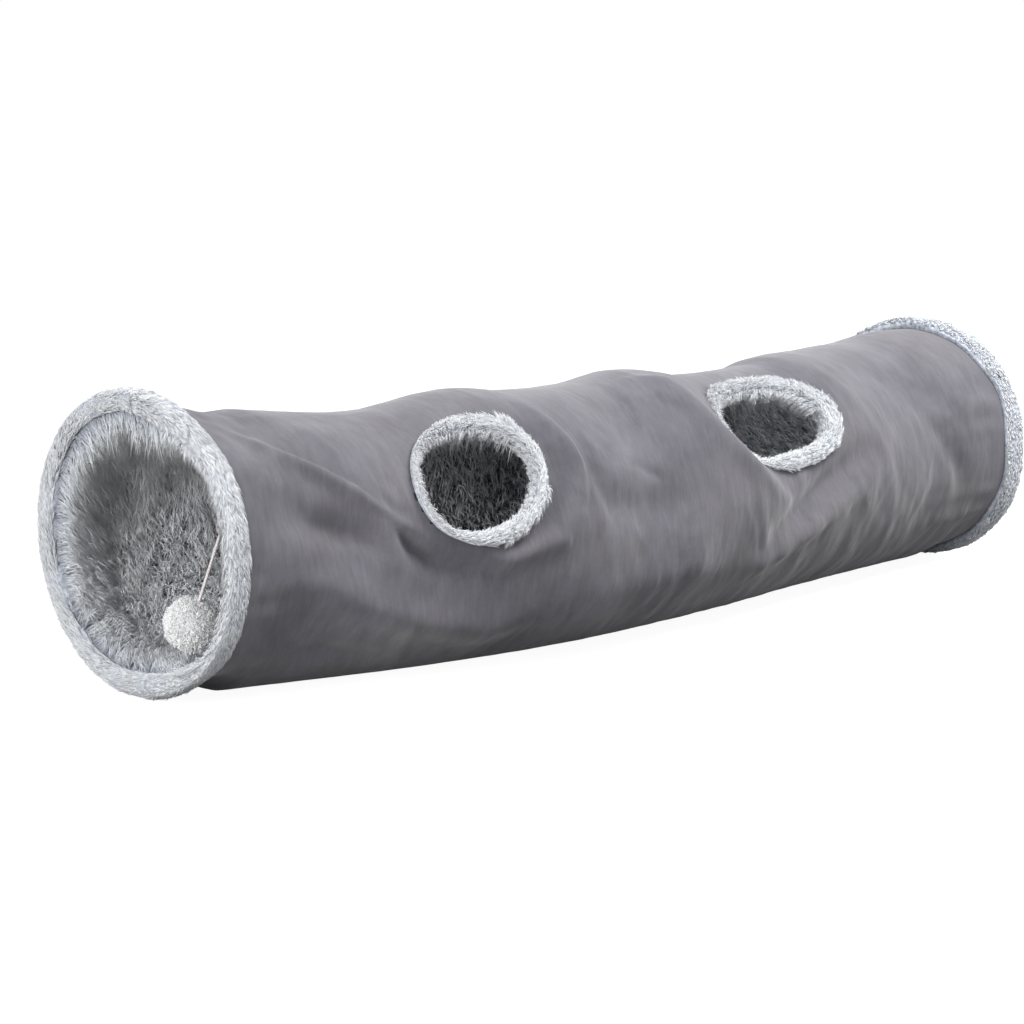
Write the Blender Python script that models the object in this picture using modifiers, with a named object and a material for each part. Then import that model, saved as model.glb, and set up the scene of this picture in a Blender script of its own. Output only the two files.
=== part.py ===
"""Cat play tunnel: a sprung cloth tube with plush-bound mouths, two side holes and a ball on a cord.

The tube lies along X. Its front mouth, with the ball, is at the low end of X, its side holes
open towards -Y and up, and it rests on the plane z = 0. Sizes are in metres.

Every sheet, ring and wire is first drawn round a straight axis, where a place is a distance x
along the tube, an angle from the top towards -Y, and a radius. The function lay then bends
the lot along the gently bowed line that the tunnel takes on the floor.
"""
import math

import bmesh
import bpy
from mathutils import Vector

# Tunnel as it lies
LENGTH = 1.172              # between the planes of the two mouths
TUBE_RADIUS = 0.1362        # outer face of the cover, over the wire
BOW = 0.068                 # sideways reach of the bowed centre line
BOW_SKEW = 0.044            # how much more of it the front half takes
BOW_POWER = 1.5
FRONT_TILT = math.radians(3.0)
REAR_TILT = math.radians(9.0)
TILT_REACH = 0.47           # length over which a mouth's tilt dies away
REST_DEPTH = 0.0015         # how far the soft underside is pressed flat
SETTLE_REACH = 0.220        # length over which the coil drops from a mouth to the floor
HANG_REACH = 0.040          # length over which the loose cover drops to the floor by a mouth
HANG_START = math.radians(110.0)    # angle from which the cover can hang below the coil

# Cloth, tape and wire
COVER_WALL = 0.0012
LINING_WALL = 0.0012
TAPE_WALL = 0.0010
TAPE_WIDTH = 0.014
WIRE_DIAMETER = 0.0022
SEWN_GAP = 0.0005           # running space between neighbours in the sewn sandwich
SAG = 0.009                 # drop of the cloth between two turns of wire
SAG_REACH = 0.090           # length over which the sag grows from a rim

# Spring
FIRST_TOP = 0.122           # where the first turn passes the top
LAST_TOP = 1.106            # where the last turn passes it
TURNS_BETWEEN_TOPS = 4
END_COIL_INSET = 0.012      # flat end turn, from the plane of its mouth
END_TURN_SHARE = 0.93       # how much of a full circle a flat end turn makes
COIL_EASE = 0.020           # length over which the wire leaves a flat end turn
CAP_LENGTH = 0.012
CAP_DEPTH = 0.008
CAP_WALL = 0.0005
CAP_GAP = 0.0003

# Plush bindings of the mouths
FRONT_RIM_PROUD = 0.0163    # how far the binding stands out of the cover
FRONT_RIM_OUTER_LEG = 0.018
FRONT_RIM_INNER_LEG = 0.030
FRONT_RIM_NOSE = 0.010
REAR_RIM_PROUD = 0.0083
REAR_RIM_OUTER_LEG = 0.045
REAR_RIM_INNER_LEG = 0.040
REAR_RIM_NOSE = 0.009
RIM_INNER_WALL = 0.008
RIM_HEM = 0.004             # thickness of a leg at its sewn edge
LEG_CLEARANCE = 0.003       # straight tube left past a leg before the tunnel bends

# Side holes: place along the tube, angle from the top, and extra half length along the tube
FRONT_HOLE_X = 0.281
FRONT_HOLE_ANGLE = math.radians(55.5)
FRONT_HOLE_STRETCH = 0.006
REAR_HOLE_X = 0.748
REAR_HOLE_ANGLE = math.radians(47.0)
REAR_HOLE_STRETCH = 0.022
HOLE_RADIUS = 0.060         # cut in the cloth, measured round the tube
HOLE_RIM_LEG = 0.018
HOLE_RIM_NOSE = 0.008
HOLE_RIM_PROUD = 0.010
HOLE_RIM_INNER_WALL = 0.007
HOLE_RIM_HEM = 0.0035
HOLE_FIT = 0.0011           # slot clearance, which also takes up the curve of the tube
FLAT_CLOTH_REACH = 0.045    # length over which the sag grows from a hole's binding

# Hanging ball
BALL_RADIUS = 0.0255
BALL_REST_GAP = 0.0006
CORD_DIAMETER = 0.0032
CORD_REACH = 0.1096         # from the middle of the knot to the middle of the ball
KNOT_RADIUS = 0.0042
STOP_KNOT_RADIUS = 0.0020   # of the doubled cord that makes the knot in the ball
STOP_GAP = 0.0004
CORD_TAIL = 0.0010
TAB_WIDTH = 0.012
TAB_LENGTH = 0.014
TAB_WALL = 0.0008
TOY_X = 0.017
TOY_FACET = 6               # facet of the rim, counted from the top, that carries the tab

# Fineness
SIDES = 28
ROWS_PER_TURN = 3
HOLE_SIDES = 28
MERGE = 0.00001
CUT_OVERRUN = 0.012
CORD_POINTS = 9
ROW_SNAP = 0.002            # a row this close to a rim's seam joins it

# Sections of the bindings, as shares of their own leg, nose and wall
ROLL_LEG_SHARE = 0.6
ROLL_TURN_SHARE = 0.7
ROLL_CORNER_SHARE = 0.45
INNER_LEG_SHARE = 0.8

TURN = 2.0 * math.pi
STEP = TURN / SIDES
PITCH = (LAST_TOP - FIRST_TOP) / TURNS_BETWEEN_TOPS
FRONT_RIM_RADIUS = TUBE_RADIUS + FRONT_RIM_PROUD
REAR_RIM_RADIUS = TUBE_RADIUS + REAR_RIM_PROUD
SANDWICH = 3.0 * SEWN_GAP + WIRE_DIAMETER + TAPE_WALL
LINING_RADIUS = TUBE_RADIUS - COVER_WALL - SANDWICH
LINING_INNER = LINING_RADIUS - LINING_WALL
WIRE_RADIUS = TUBE_RADIUS - COVER_WALL - SEWN_GAP - 0.5 * WIRE_DIAMETER
END_COIL_RADIUS = TUBE_RADIUS - COVER_WALL - 0.5 * SANDWICH
TAPE_RADIUS = WIRE_RADIUS - 0.5 * WIRE_DIAMETER - SEWN_GAP
RIM_BORE = LINING_INNER - SEWN_GAP - RIM_INNER_WALL
FACET_DROP = TUBE_RADIUS * (1.0 - math.cos(0.5 * STEP))
FRONT_STRAIGHT = FRONT_RIM_INNER_LEG + LEG_CLEARANCE
REAR_STRAIGHT = REAR_RIM_OUTER_LEG + LEG_CLEARANCE
HOLES = (
    ("front", FRONT_HOLE_X, FRONT_HOLE_ANGLE, FRONT_HOLE_STRETCH),
    ("rear", REAR_HOLE_X, REAR_HOLE_ANGLE, REAR_HOLE_STRETCH),
)

# Base colour, roughness and metallic value of each finish
FINISHES = {
    "suede_cloth": ((0.23, 0.215, 0.235), 0.95, 0.0),
    "frosted_plush": ((0.66, 0.70, 0.76), 1.0, 0.0),
    "lining_plush": ((0.16, 0.18, 0.22), 1.0, 0.0),
    "spring_steel": ((0.55, 0.55, 0.56), 0.35, 1.0),
    "casing_tape": ((0.30, 0.30, 0.32), 0.85, 0.0),
    "tip_plastic": ((0.05, 0.05, 0.055), 0.45, 0.0),
    "cord_cotton": ((0.72, 0.66, 0.65), 0.9, 0.0),
    "ball_plush": ((0.80, 0.80, 0.78), 1.0, 0.0),
}


def smooth(value):
    """Smooth step of a value, held at 0 and 1 outside that range."""
    value = min(max(value, 0.0), 1.0)
    return value * value * (3.0 - 2.0 * value)


def bow(x):
    """Sideways place of the centre line."""
    share = (x - FRONT_STRAIGHT) / (LENGTH - FRONT_STRAIGHT - REAR_STRAIGHT)
    share = min(max(share, 0.0), 1.0)
    swell = (4.0 * share * (1.0 - share)) ** BOW_POWER
    return -swell * (BOW + BOW_SKEW * (1.0 - 2.0 * share))


def tilt(x):
    """Angle by which a section of the tube is turned about Z."""
    front = smooth(1.0 - (x - FRONT_STRAIGHT) / TILT_REACH)
    rear = smooth(1.0 - (LENGTH - REAR_STRAIGHT - x) / TILT_REACH)
    return FRONT_TILT * front + REAR_TILT * rear


def resting_radius(x):
    """Radius that meets the floor at x: a rim's own at a mouth, the cover's between them."""
    front = 1.0 - smooth((x - FRONT_STRAIGHT) / SETTLE_REACH)
    rear = 1.0 - smooth((LENGTH - REAR_STRAIGHT - x) / SETTLE_REACH)
    return (TUBE_RADIUS + front * (FRONT_RIM_RADIUS - TUBE_RADIUS)
            + rear * (REAR_RIM_RADIUS - TUBE_RADIUS))


def lay(x, angle, radius):
    """Place of a point of the straight tube when the tunnel lies bowed on the floor."""
    resting = resting_radius(x)
    height = resting - REST_DEPTH
    down = -math.cos(angle)
    if down * resting > height:
        radius -= resting - height / down
    side = -radius * math.sin(angle)
    turned_by = tilt(x)
    return Vector((x - side * math.sin(turned_by),
                   bow(x) + side * math.cos(turned_by),
                   height + radius * math.cos(angle)))


def polar(co):
    """Distance along, angle from the top and radius of a point of the straight tube."""
    return co.x, math.atan2(-co.y, co.z), math.hypot(co.y, co.z)


def straight(x, angle, radius):
    """Point of the straight tube, whose axis is the X axis."""
    return Vector((x, -radius * math.sin(angle), radius * math.cos(angle)))


def past_hole(hole, x, angle):
    """How far a corner of the cloth is outside a hole's binding, less one face of the cloth."""
    _, hole_x, hole_angle, stretch = hole
    around = abs(math.remainder(angle - hole_angle, TURN)) * TUBE_RADIUS
    around = max(0.0, around - STEP * TUBE_RADIUS)
    along = max(0.0, abs(x - hole_x) - PITCH / ROWS_PER_TURN)
    along *= HOLE_RADIUS / (HOLE_RADIUS + stretch)
    return math.hypot(along, around) - HOLE_RADIUS - HOLE_RIM_LEG


def sag(x, angle):
    """Drop of the cloth between two turns of wire, none at the rims, holes and underside."""
    phase = (x - FIRST_TOP) / PITCH - angle / TURN
    drop = SAG * math.sin(math.pi * phase) ** 2
    drop *= smooth((x - FRONT_STRAIGHT) / SAG_REACH)
    drop *= smooth((LENGTH - REAR_STRAIGHT - x) / SAG_REACH)
    drop *= 0.5 * (1.0 + math.cos(angle))
    for hole in HOLES:
        drop *= smooth(past_hole(hole, x, angle) / FLAT_CLOTH_REACH)
    return drop


def hang_down(x, angle):
    """How far the loose cover hangs outside the coil, down to the floor, near the mouths."""
    low = smooth((math.cos(HANG_START) - math.cos(angle)) / (1.0 + math.cos(HANG_START)))
    low *= smooth((x - FRONT_STRAIGHT) / HANG_REACH)
    low *= smooth((LENGTH - REAR_STRAIGHT - x) / HANG_REACH)
    return low * (resting_radius(x) - TUBE_RADIUS)


def material(name):
    """The material of one finish, made on first use."""
    known = bpy.data.materials.get(name)
    if known:
        return known
    colour, roughness, metallic = FINISHES[name]
    made = bpy.data.materials.new(name)
    made.use_nodes = True
    shader = made.node_tree.nodes["Principled BSDF"]
    shader.inputs["Base Color"].default_value = (*colour, 1.0)
    shader.inputs["Roughness"].default_value = roughness
    shader.inputs["Metallic"].default_value = metallic
    return made


def add_object(name, data, finish=None, collection="cat_tunnel"):
    """Link data as a named object, in the part's collection or the cutters'."""
    made = bpy.data.objects.new(name, data)
    bpy.data.collections[collection].objects.link(made)
    if finish:
        made.data.materials.append(material(finish))
    return made


def hang(child, parent):
    """Parent an object, keeping its own location and rotation as local ones."""
    child.parent = parent
    return child


def baked(source):
    """Mesh of an object as its modifiers leave it, the object itself being removed."""
    graph = bpy.context.evaluated_depsgraph_get()
    mesh = bpy.data.meshes.new_from_object(source.evaluated_get(graph))
    data = source.data
    bpy.data.objects.remove(source)
    if isinstance(data, bpy.types.Curve):
        bpy.data.curves.remove(data)
    else:
        bpy.data.meshes.remove(data)
    return mesh


def tidy(mesh):
    """Weld a mesh, close its open ends, point its faces out and shade it smooth."""
    work = bmesh.new()
    work.from_mesh(mesh)
    bmesh.ops.remove_doubles(work, verts=work.verts, dist=MERGE)
    ends = [edge for edge in work.edges if edge.is_boundary]
    if ends:
        bmesh.ops.holes_fill(work, edges=ends)
    bmesh.ops.recalc_face_normals(work, faces=work.faces)
    work.to_mesh(mesh)
    work.free()
    mesh.shade_smooth()
    mesh.set_sharp_from_angle(angle=math.radians(50.0))
    return mesh


def turned(profile, start, steps, turns=1.0, advance=0.0):
    """Closed outline of (x, radius) points turned about X with a Screw modifier."""
    mesh = bpy.data.meshes.new("profile")
    count = len(profile)
    points = [straight(x, start, radius) for x, radius in profile]
    mesh.from_pydata(points, [(k, (k + 1) % count) for k in range(count)], [])
    carrier = add_object("profile", mesh)
    screw = carrier.modifiers.new("turn", "SCREW")
    screw.axis = "X"
    screw.angle = TURN * turns
    screw.screw_offset = advance
    screw.steps = steps
    screw.render_steps = steps
    screw.use_merge_vertices = advance == 0.0
    screw.merge_threshold = MERGE
    bpy.context.view_layer.update()
    return tidy(baked(carrier))


def laid(mesh):
    """Move a mesh from the straight tube to the bowed one."""
    for vertex in mesh.vertices:
        vertex.co = lay(*polar(vertex.co))
    return mesh


def sheet_rows(first, last):
    """Lowest and highest numbers of the rows that wind past both ends of a sheet."""
    lowest = math.floor(((first - FIRST_TOP) / PITCH - 1.0) * ROWS_PER_TURN)
    highest = math.ceil((last - FIRST_TOP) / PITCH * ROWS_PER_TURN)
    return lowest, highest


def sheet(name, inset, finish, loose):
    """Open tube of cloth whose rows run along the wire, inset from the cover's outer face."""
    first = FRONT_STRAIGHT
    last = LENGTH - REAR_STRAIGHT
    lowest, highest = sheet_rows(first, last)
    rows = highest - lowest
    work = bmesh.new()
    bmesh.ops.create_grid(work, x_segments=rows, y_segments=SIDES, size=0.5)
    for vertex in work.verts:
        row = lowest + round((vertex.co.x + 0.5) * rows)
        column = round((vertex.co.y + 0.5) * SIDES) + 0.5
        x = FIRST_TOP + PITCH * (row / ROWS_PER_TURN + column / SIDES)
        if x < first + ROW_SNAP:
            x = first
        if x > last - ROW_SNAP:
            x = last
        angle = column * STEP
        radius = TUBE_RADIUS - sag(x, angle) - inset
        if loose:
            radius += hang_down(x, angle)
        vertex.co = straight(x, angle, radius)
    bmesh.ops.remove_doubles(work, verts=work.verts, dist=MERGE)
    for seam, end in ((first, SEWN_GAP), (last, LENGTH - SEWN_GAP)):
        ring = [edge for edge in work.edges if edge.is_boundary
                and all(abs(v.co.x - seam) < MERGE for v in edge.verts)]
        grown = bmesh.ops.extrude_edge_only(work, edges=ring)
        for piece in grown["geom"]:
            if isinstance(piece, bmesh.types.BMVert):
                piece.co.x = end
    bmesh.ops.recalc_face_normals(work, faces=work.faces)
    mesh = bpy.data.meshes.new(name)
    work.to_mesh(mesh)
    work.free()
    mesh.shade_smooth()
    return add_object(name, laid(mesh), finish)


def walled(sheet_object, wall, cutters):
    """Give a sheet its wall, inwards, and cut the side holes."""
    solid = sheet_object.modifiers.new("wall", "SOLIDIFY")
    solid.thickness = wall
    solid.offset = -1.0
    for cutter in cutters:
        cut = sheet_object.modifiers.new(cutter.name, "BOOLEAN")
        cut.operation = "DIFFERENCE"
        cut.solver = "EXACT"
        cut.object = cutter
    return sheet_object


def around_hole(mesh, hole):
    """Lay a mesh turned about X onto the tube wall round a hole, its x standing out of it."""
    _, hole_x, hole_angle, stretch = hole
    for vertex in mesh.vertices:
        height, angle, radius = polar(vertex.co)
        reach = radius + stretch if radius > MERGE else radius
        along = reach * math.sin(angle)
        around = radius * math.cos(angle)
        vertex.co = lay(hole_x + along, hole_angle + around / TUBE_RADIUS, TUBE_RADIUS + height)
    return mesh


def hole_cutter(hole):
    """Plug that cuts one side hole through cover and lining."""
    work = bmesh.new()
    depth = TUBE_RADIUS - LINING_INNER + 2.0 * CUT_OVERRUN
    bmesh.ops.create_cone(work, cap_ends=True, cap_tris=True, segments=HOLE_SIDES,
                          radius1=HOLE_RADIUS, radius2=HOLE_RADIUS, depth=depth)
    middle = 0.5 * (LINING_INNER - TUBE_RADIUS)
    for vertex in work.verts:
        side, rise, height = vertex.co
        vertex.co = Vector((height + middle, side, rise))
    mesh = bpy.data.meshes.new("hole_cutter_" + hole[0])
    work.to_mesh(mesh)
    work.free()
    around_hole(mesh, hole)
    tidy(mesh)
    cutter = add_object("hole_cutter_" + hole[0], mesh, collection="cutters")
    cutter.display_type = "WIRE"
    cutter.hide_render = True
    return cutter


def hole_rim(hole):
    """Plush binding folded over the edge of a side hole, as an open U in section."""
    above = HOLE_FIT
    below = LINING_INNER - TUBE_RADIUS - HOLE_FIT - FACET_DROP
    floor = HOLE_RADIUS - SEWN_GAP
    mouth = floor - HOLE_RIM_NOSE
    end = HOLE_RADIUS + HOLE_RIM_LEG
    crest = HOLE_RADIUS + ROLL_LEG_SHARE * HOLE_RIM_LEG
    bottom = below - HOLE_RIM_INNER_WALL
    outline = [
        (above, end),
        (above + HOLE_RIM_HEM, end),
        (HOLE_RIM_PROUD, crest),
        (HOLE_RIM_PROUD, floor),
        (ROLL_LEG_SHARE * HOLE_RIM_PROUD, floor - ROLL_TURN_SHARE * HOLE_RIM_NOSE),
        (0.5 * below, mouth),
        (ROLL_LEG_SHARE * bottom, floor - ROLL_TURN_SHARE * HOLE_RIM_NOSE),
        (bottom, floor),
        (bottom, crest),
        (below - HOLE_RIM_HEM, end),
        (below, end),
        (below, floor),
        (above, floor),
    ]
    mesh = around_hole(turned(outline, 0.0, HOLE_SIDES), hole)
    return add_object("hole_rim_" + hole[0], mesh, "frosted_plush")


def rim(name, sign, plane, radius, outer_leg, inner_leg, nose):
    """Plush binding folded over the end of the tube, as an open U in section."""
    slot_out = TUBE_RADIUS + SEWN_GAP
    slot_in = LINING_INNER - SEWN_GAP
    corner = ROLL_CORNER_SHARE * nose
    face = ROLL_TURN_SHARE * nose
    outline = [
        (outer_leg, slot_out),
        (outer_leg, slot_out + RIM_HEM),
        (ROLL_LEG_SHARE * outer_leg, radius),
        (0.0, radius),
        (-face, radius - corner),
        (-nose, 0.5 * (radius + RIM_BORE)),
        (-face, RIM_BORE + corner),
        (0.0, RIM_BORE),
        (INNER_LEG_SHARE * inner_leg, RIM_BORE),
        (inner_leg, slot_in - RIM_HEM),
        (inner_leg, slot_in),
        (0.0, slot_in),
        (0.0, slot_out),
    ]
    points = [(plane + sign * x, r) for x, r in outline]
    return add_object(name, laid(turned(points, 0.5 * STEP, SIDES)), "frosted_plush")


def soft_limit(x, low, high, ease):
    """Hold x between two limits, bending into each over a length."""
    for limit, sign in ((low, 1.0), (high, -1.0)):
        past = sign * (x - limit)
        if past < -ease:
            past = 0.0
        elif past < ease:
            past = (past + ease) ** 2 / (4.0 * ease)
        x = limit + sign * past
    return x


def wire_place(step):
    """Straight-tube place of the wire at a whole number of steps past the first top."""
    angle = (step + 0.5) * STEP
    low = END_COIL_INSET
    high = LENGTH - END_COIL_INSET
    x = soft_limit(FIRST_TOP + PITCH * angle / TURN, low, high, COIL_EASE)
    lifted = smooth(min(x - low, high - x) / COIL_EASE)
    return x, angle, END_COIL_RADIUS + (WIRE_RADIUS - END_COIL_RADIUS) * lifted


def wire_span():
    """First and last step of the wire, with a flat turn at each end."""
    front = SIDES * ((END_COIL_INSET - FIRST_TOP) / PITCH - END_TURN_SHARE)
    rear = SIDES * ((LENGTH - END_COIL_INSET - FIRST_TOP) / PITCH + END_TURN_SHARE)
    return round(front), round(rear)


def tube_along(name, points, diameter, rings, finish):
    """Round bar along points, as a curve with filled caps."""
    curve = bpy.data.curves.new(name, "CURVE")
    curve.dimensions = "3D"
    curve.bevel_depth = 0.5 * diameter
    curve.bevel_resolution = rings
    curve.use_fill_caps = True
    spline = curve.splines.new("POLY")
    spline.points.add(len(points) - 1)
    for target, point in zip(spline.points, points):
        target.co = (*point, 1.0)
    return add_object(name, curve, finish)


def spring_wire():
    """One steel wire: a flat turn in each mouth and the long open coil between them."""
    first, last = wire_span()
    points = [lay(*wire_place(step)) for step in range(first, last + 1)]
    points[0] = 0.5 * (points[0] + points[1])
    points[-1] = 0.5 * (points[-1] + points[-2])
    return tube_along("spring_wire", points, WIRE_DIAMETER, 1, "spring_steel")


def wire_tip(name, end, before):
    """Plastic cap pushed over one end of the wire."""
    inner = lay(*wire_place(before))
    tip = 0.5 * (lay(*wire_place(end)) + inner)
    inward = (inner - tip).normalized()
    bore = 0.5 * WIRE_DIAMETER + CAP_GAP
    outline = [
        (CAP_DEPTH - CAP_LENGTH, 0.0),
        (CAP_DEPTH - CAP_LENGTH, bore + CAP_WALL),
        (CAP_DEPTH, bore + CAP_WALL),
        (CAP_DEPTH, bore),
        (-CAP_GAP, bore),
        (-CAP_GAP, 0.0),
    ]
    cap = add_object(name, turned(outline, 0.0, 12), "tip_plastic")
    cap.location = tip
    cap.rotation_mode = "QUATERNION"
    cap.rotation_quaternion = inward.to_track_quat("X", "Z")
    return cap


def casing_tape():
    """Tape sewn over the coil on its inner side, following it from mouth to mouth."""
    first = math.ceil(SIDES * (FRONT_STRAIGHT - FIRST_TOP) / PITCH)
    last = math.floor(SIDES * (LENGTH - REAR_STRAIGHT - FIRST_TOP) / PITCH)
    x = FIRST_TOP + PITCH * (first + 0.5) / SIDES
    half = 0.5 * TAPE_WIDTH
    outline = [
        (x - half, TAPE_RADIUS),
        (x + half, TAPE_RADIUS),
        (x + half, TAPE_RADIUS - TAPE_WALL),
        (x - half, TAPE_RADIUS - TAPE_WALL),
    ]
    steps = last - first
    turns = steps / SIDES
    mesh = turned(outline, (first + 0.5) * STEP, steps, turns, PITCH * turns)
    return add_object("casing_tape", laid(mesh), "casing_tape")


def facet(radius):
    """Distance from the axis of the middle of a flat facet of a ring."""
    return radius * math.cos(0.5 * STEP)


def toy_places():
    """Straight-tube angle and radius of the knot, and the same for the ball at rest."""
    knot_angle = TOY_FACET * STEP
    knot_radius = facet(RIM_BORE) - 2.0 * SEWN_GAP - TAB_WALL - KNOT_RADIUS
    ball_radius = facet(RIM_BORE) - BALL_RADIUS - BALL_REST_GAP
    cosine = knot_radius ** 2 + ball_radius ** 2 - CORD_REACH ** 2
    cosine /= 2.0 * knot_radius * ball_radius
    return knot_angle, knot_radius, knot_angle + math.acos(cosine), ball_radius


def anchor_tab():
    """Tape tab stitched inside the front rim, which holds the cord's knot."""
    angle = TOY_FACET * STEP
    work = bmesh.new()
    bmesh.ops.create_cube(work, size=1.0)
    bmesh.ops.scale(work, vec=(TAB_WIDTH, TAB_LENGTH, TAB_WALL), verts=work.verts)
    mesh = bpy.data.meshes.new("cord_anchor_tab")
    work.to_mesh(mesh)
    work.free()
    tab = add_object("cord_anchor_tab", mesh, "casing_tape")
    tab.location = lay(TOY_X, angle, facet(RIM_BORE) - SEWN_GAP - 0.5 * TAB_WALL)
    tab.rotation_euler = (angle, 0.0, FRONT_TILT)
    return tab


def ball(depth):
    """Soft ball with a bore down to its middle and room there for the stop knot."""
    cavity = CORD_DIAMETER * 0.5 + 2.0 * (STOP_KNOT_RADIUS + STOP_GAP)
    bore = 0.5 * CORD_DIAMETER + STOP_GAP
    bpy.ops.mesh.primitive_uv_sphere_add(segments=20, ring_count=14, radius=BALL_RADIUS)
    body = bpy.context.object
    bpy.ops.mesh.primitive_uv_sphere_add(segments=12, ring_count=8, radius=cavity)
    room = bpy.context.object
    bpy.ops.mesh.primitive_cylinder_add(vertices=12, radius=bore, depth=BALL_RADIUS + CUT_OVERRUN)
    shaft = bpy.context.object
    shaft.location.z = 0.5 * (BALL_RADIUS + CUT_OVERRUN)
    for source, name, place in ((room, "union", shaft), (body, "difference", room)):
        step = source.modifiers.new(name, "BOOLEAN")
        step.operation = name.upper()
        step.solver = "EXACT"
        step.object = place
    bpy.context.view_layer.update()
    mesh = tidy(baked(body))
    for cutter in (room, shaft):
        data = cutter.data
        bpy.data.objects.remove(cutter)
        bpy.data.meshes.remove(data)
    made = add_object("pompom", mesh, "ball_plush")
    made.location.z = -depth
    return made


def toy(swing, turn):
    """Knot, cord, stop knot and ball, drawn straight down from the knot's middle."""
    bpy.ops.mesh.primitive_uv_sphere_add(segments=12, ring_count=8, radius=KNOT_RADIUS)
    mesh = bpy.context.object.data
    bpy.data.objects.remove(bpy.context.object)
    mesh.shade_smooth()
    hang(add_object("cord_knot", mesh, "cord_cotton"), swing)
    top = KNOT_RADIUS + SEWN_GAP
    low = CORD_REACH + STOP_KNOT_RADIUS + CORD_TAIL
    points = [(0.0, 0.0, -top - (low - top) * k / (CORD_POINTS - 1)) for k in range(CORD_POINTS)]
    hang(tube_along("toy_cord", points, CORD_DIAMETER, 2, "cord_cotton"), turn)
    bpy.ops.mesh.primitive_torus_add(
        major_radius=0.5 * CORD_DIAMETER + STOP_GAP + STOP_KNOT_RADIUS,
        minor_radius=STOP_KNOT_RADIUS, major_segments=12, minor_segments=8)
    mesh = bpy.context.object.data
    bpy.data.objects.remove(bpy.context.object)
    mesh.shade_smooth()
    stop = hang(add_object("stop_knot", mesh, "cord_cotton"), turn)
    stop.location.z = -CORD_REACH
    hang(ball(CORD_REACH), turn)


def pivot(name, location, rotation=(0.0, 0.0, 0.0)):
    """Empty that carries a body, on its joint."""
    made = bpy.data.objects.new(name, None)
    bpy.data.collections["cat_tunnel"].objects.link(made)
    made.location = location
    made.rotation_euler = rotation
    return made


def base_point(pieces):
    """Middle of the foot of the box that holds all the pieces."""
    graph = bpy.context.evaluated_depsgraph_get()
    corners = []
    for piece in pieces:
        seen = piece.evaluated_get(graph)
        shape = seen.to_mesh()
        corners.extend(seen.matrix_world @ vertex.co for vertex in shape.vertices)
        seen.to_mesh_clear()
    low = [min(corner[k] for corner in corners) for k in range(3)]
    high = [max(corner[k] for corner in corners) for k in range(3)]
    return Vector((0.5 * (low[0] + high[0]), 0.5 * (low[1] + high[1]), low[2]))


def clear_scene():
    """Start from an empty file with the two collections that the part uses."""
    for old in list(bpy.data.objects):
        bpy.data.objects.remove(old, do_unlink=True)
    for name in ("cat_tunnel", "cutters"):
        collection = bpy.data.collections.new(name)
        bpy.context.scene.collection.children.link(collection)


def main():
    """Build every piece, then move the whole onto its base point."""
    clear_scene()
    cutters = [hole_cutter(hole) for hole in HOLES]
    cover = walled(sheet("outer_cover", 0.0, "suede_cloth", True), COVER_WALL, cutters)
    lining = sheet("plush_lining", TUBE_RADIUS - LINING_RADIUS, "lining_plush", False)
    walled(lining, LINING_WALL, cutters)
    first, last = wire_span()
    front_pieces = [
        cover,
        lining,
        spring_wire(),
        casing_tape(),
        wire_tip("wire_tip_front", first, first + 1),
        wire_tip("wire_tip_rear", last, last - 1),
        rim("front_rim", 1.0, 0.0, FRONT_RIM_RADIUS, FRONT_RIM_OUTER_LEG,
            FRONT_RIM_INNER_LEG, FRONT_RIM_NOSE),
        anchor_tab(),
    ]
    front_pieces += [hole_rim(hole) for hole in HOLES]
    rear_rim = rim("rear_rim", -1.0, LENGTH, REAR_RIM_RADIUS, REAR_RIM_OUTER_LEG,
                   REAR_RIM_INNER_LEG, REAR_RIM_NOSE)
    knot_angle, knot_radius, ball_angle, ball_radius = toy_places()
    knot_place = lay(TOY_X, knot_angle, knot_radius)
    hung = lay(TOY_X, ball_angle, ball_radius) - knot_place
    lean = math.atan2(hung.y, -hung.z)
    swing = pivot("toy_swing", knot_place)
    turn = hang(pivot("toy_turn", (0.0, 0.0, 0.0), (lean, 0.0, 0.0)), swing)
    toy(swing, turn)
    bpy.context.view_layer.update()
    foot = base_point(front_pieces + [rear_rim])
    ground = pivot("tunnel", -foot)
    slide = hang(pivot("rear_slide", (0.0, 0.0, 0.0)), ground)
    hang(rear_rim, slide)
    hang(swing, ground)
    for piece in front_pieces + cutters:
        hang(piece, ground)
    bpy.context.view_layer.update()


main()
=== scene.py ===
# %% [markdown]
# # A sprung cloth tunnel for a cat
# The real thing is a cloth tube on a coil of spring wire. The outer cloth is brushed suede-look
# polyester, the lining is long frosted plush, and the two mouths and two side holes are bound
# with short pale plush. A soft ball hangs on a cord inside the front mouth. This file gives
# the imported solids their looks. It starts by loading them as a frame that nothing here moves.

# %% Open the frame
import math

import bmesh
import bpy
import numpy as np
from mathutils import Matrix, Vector, noise


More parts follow.
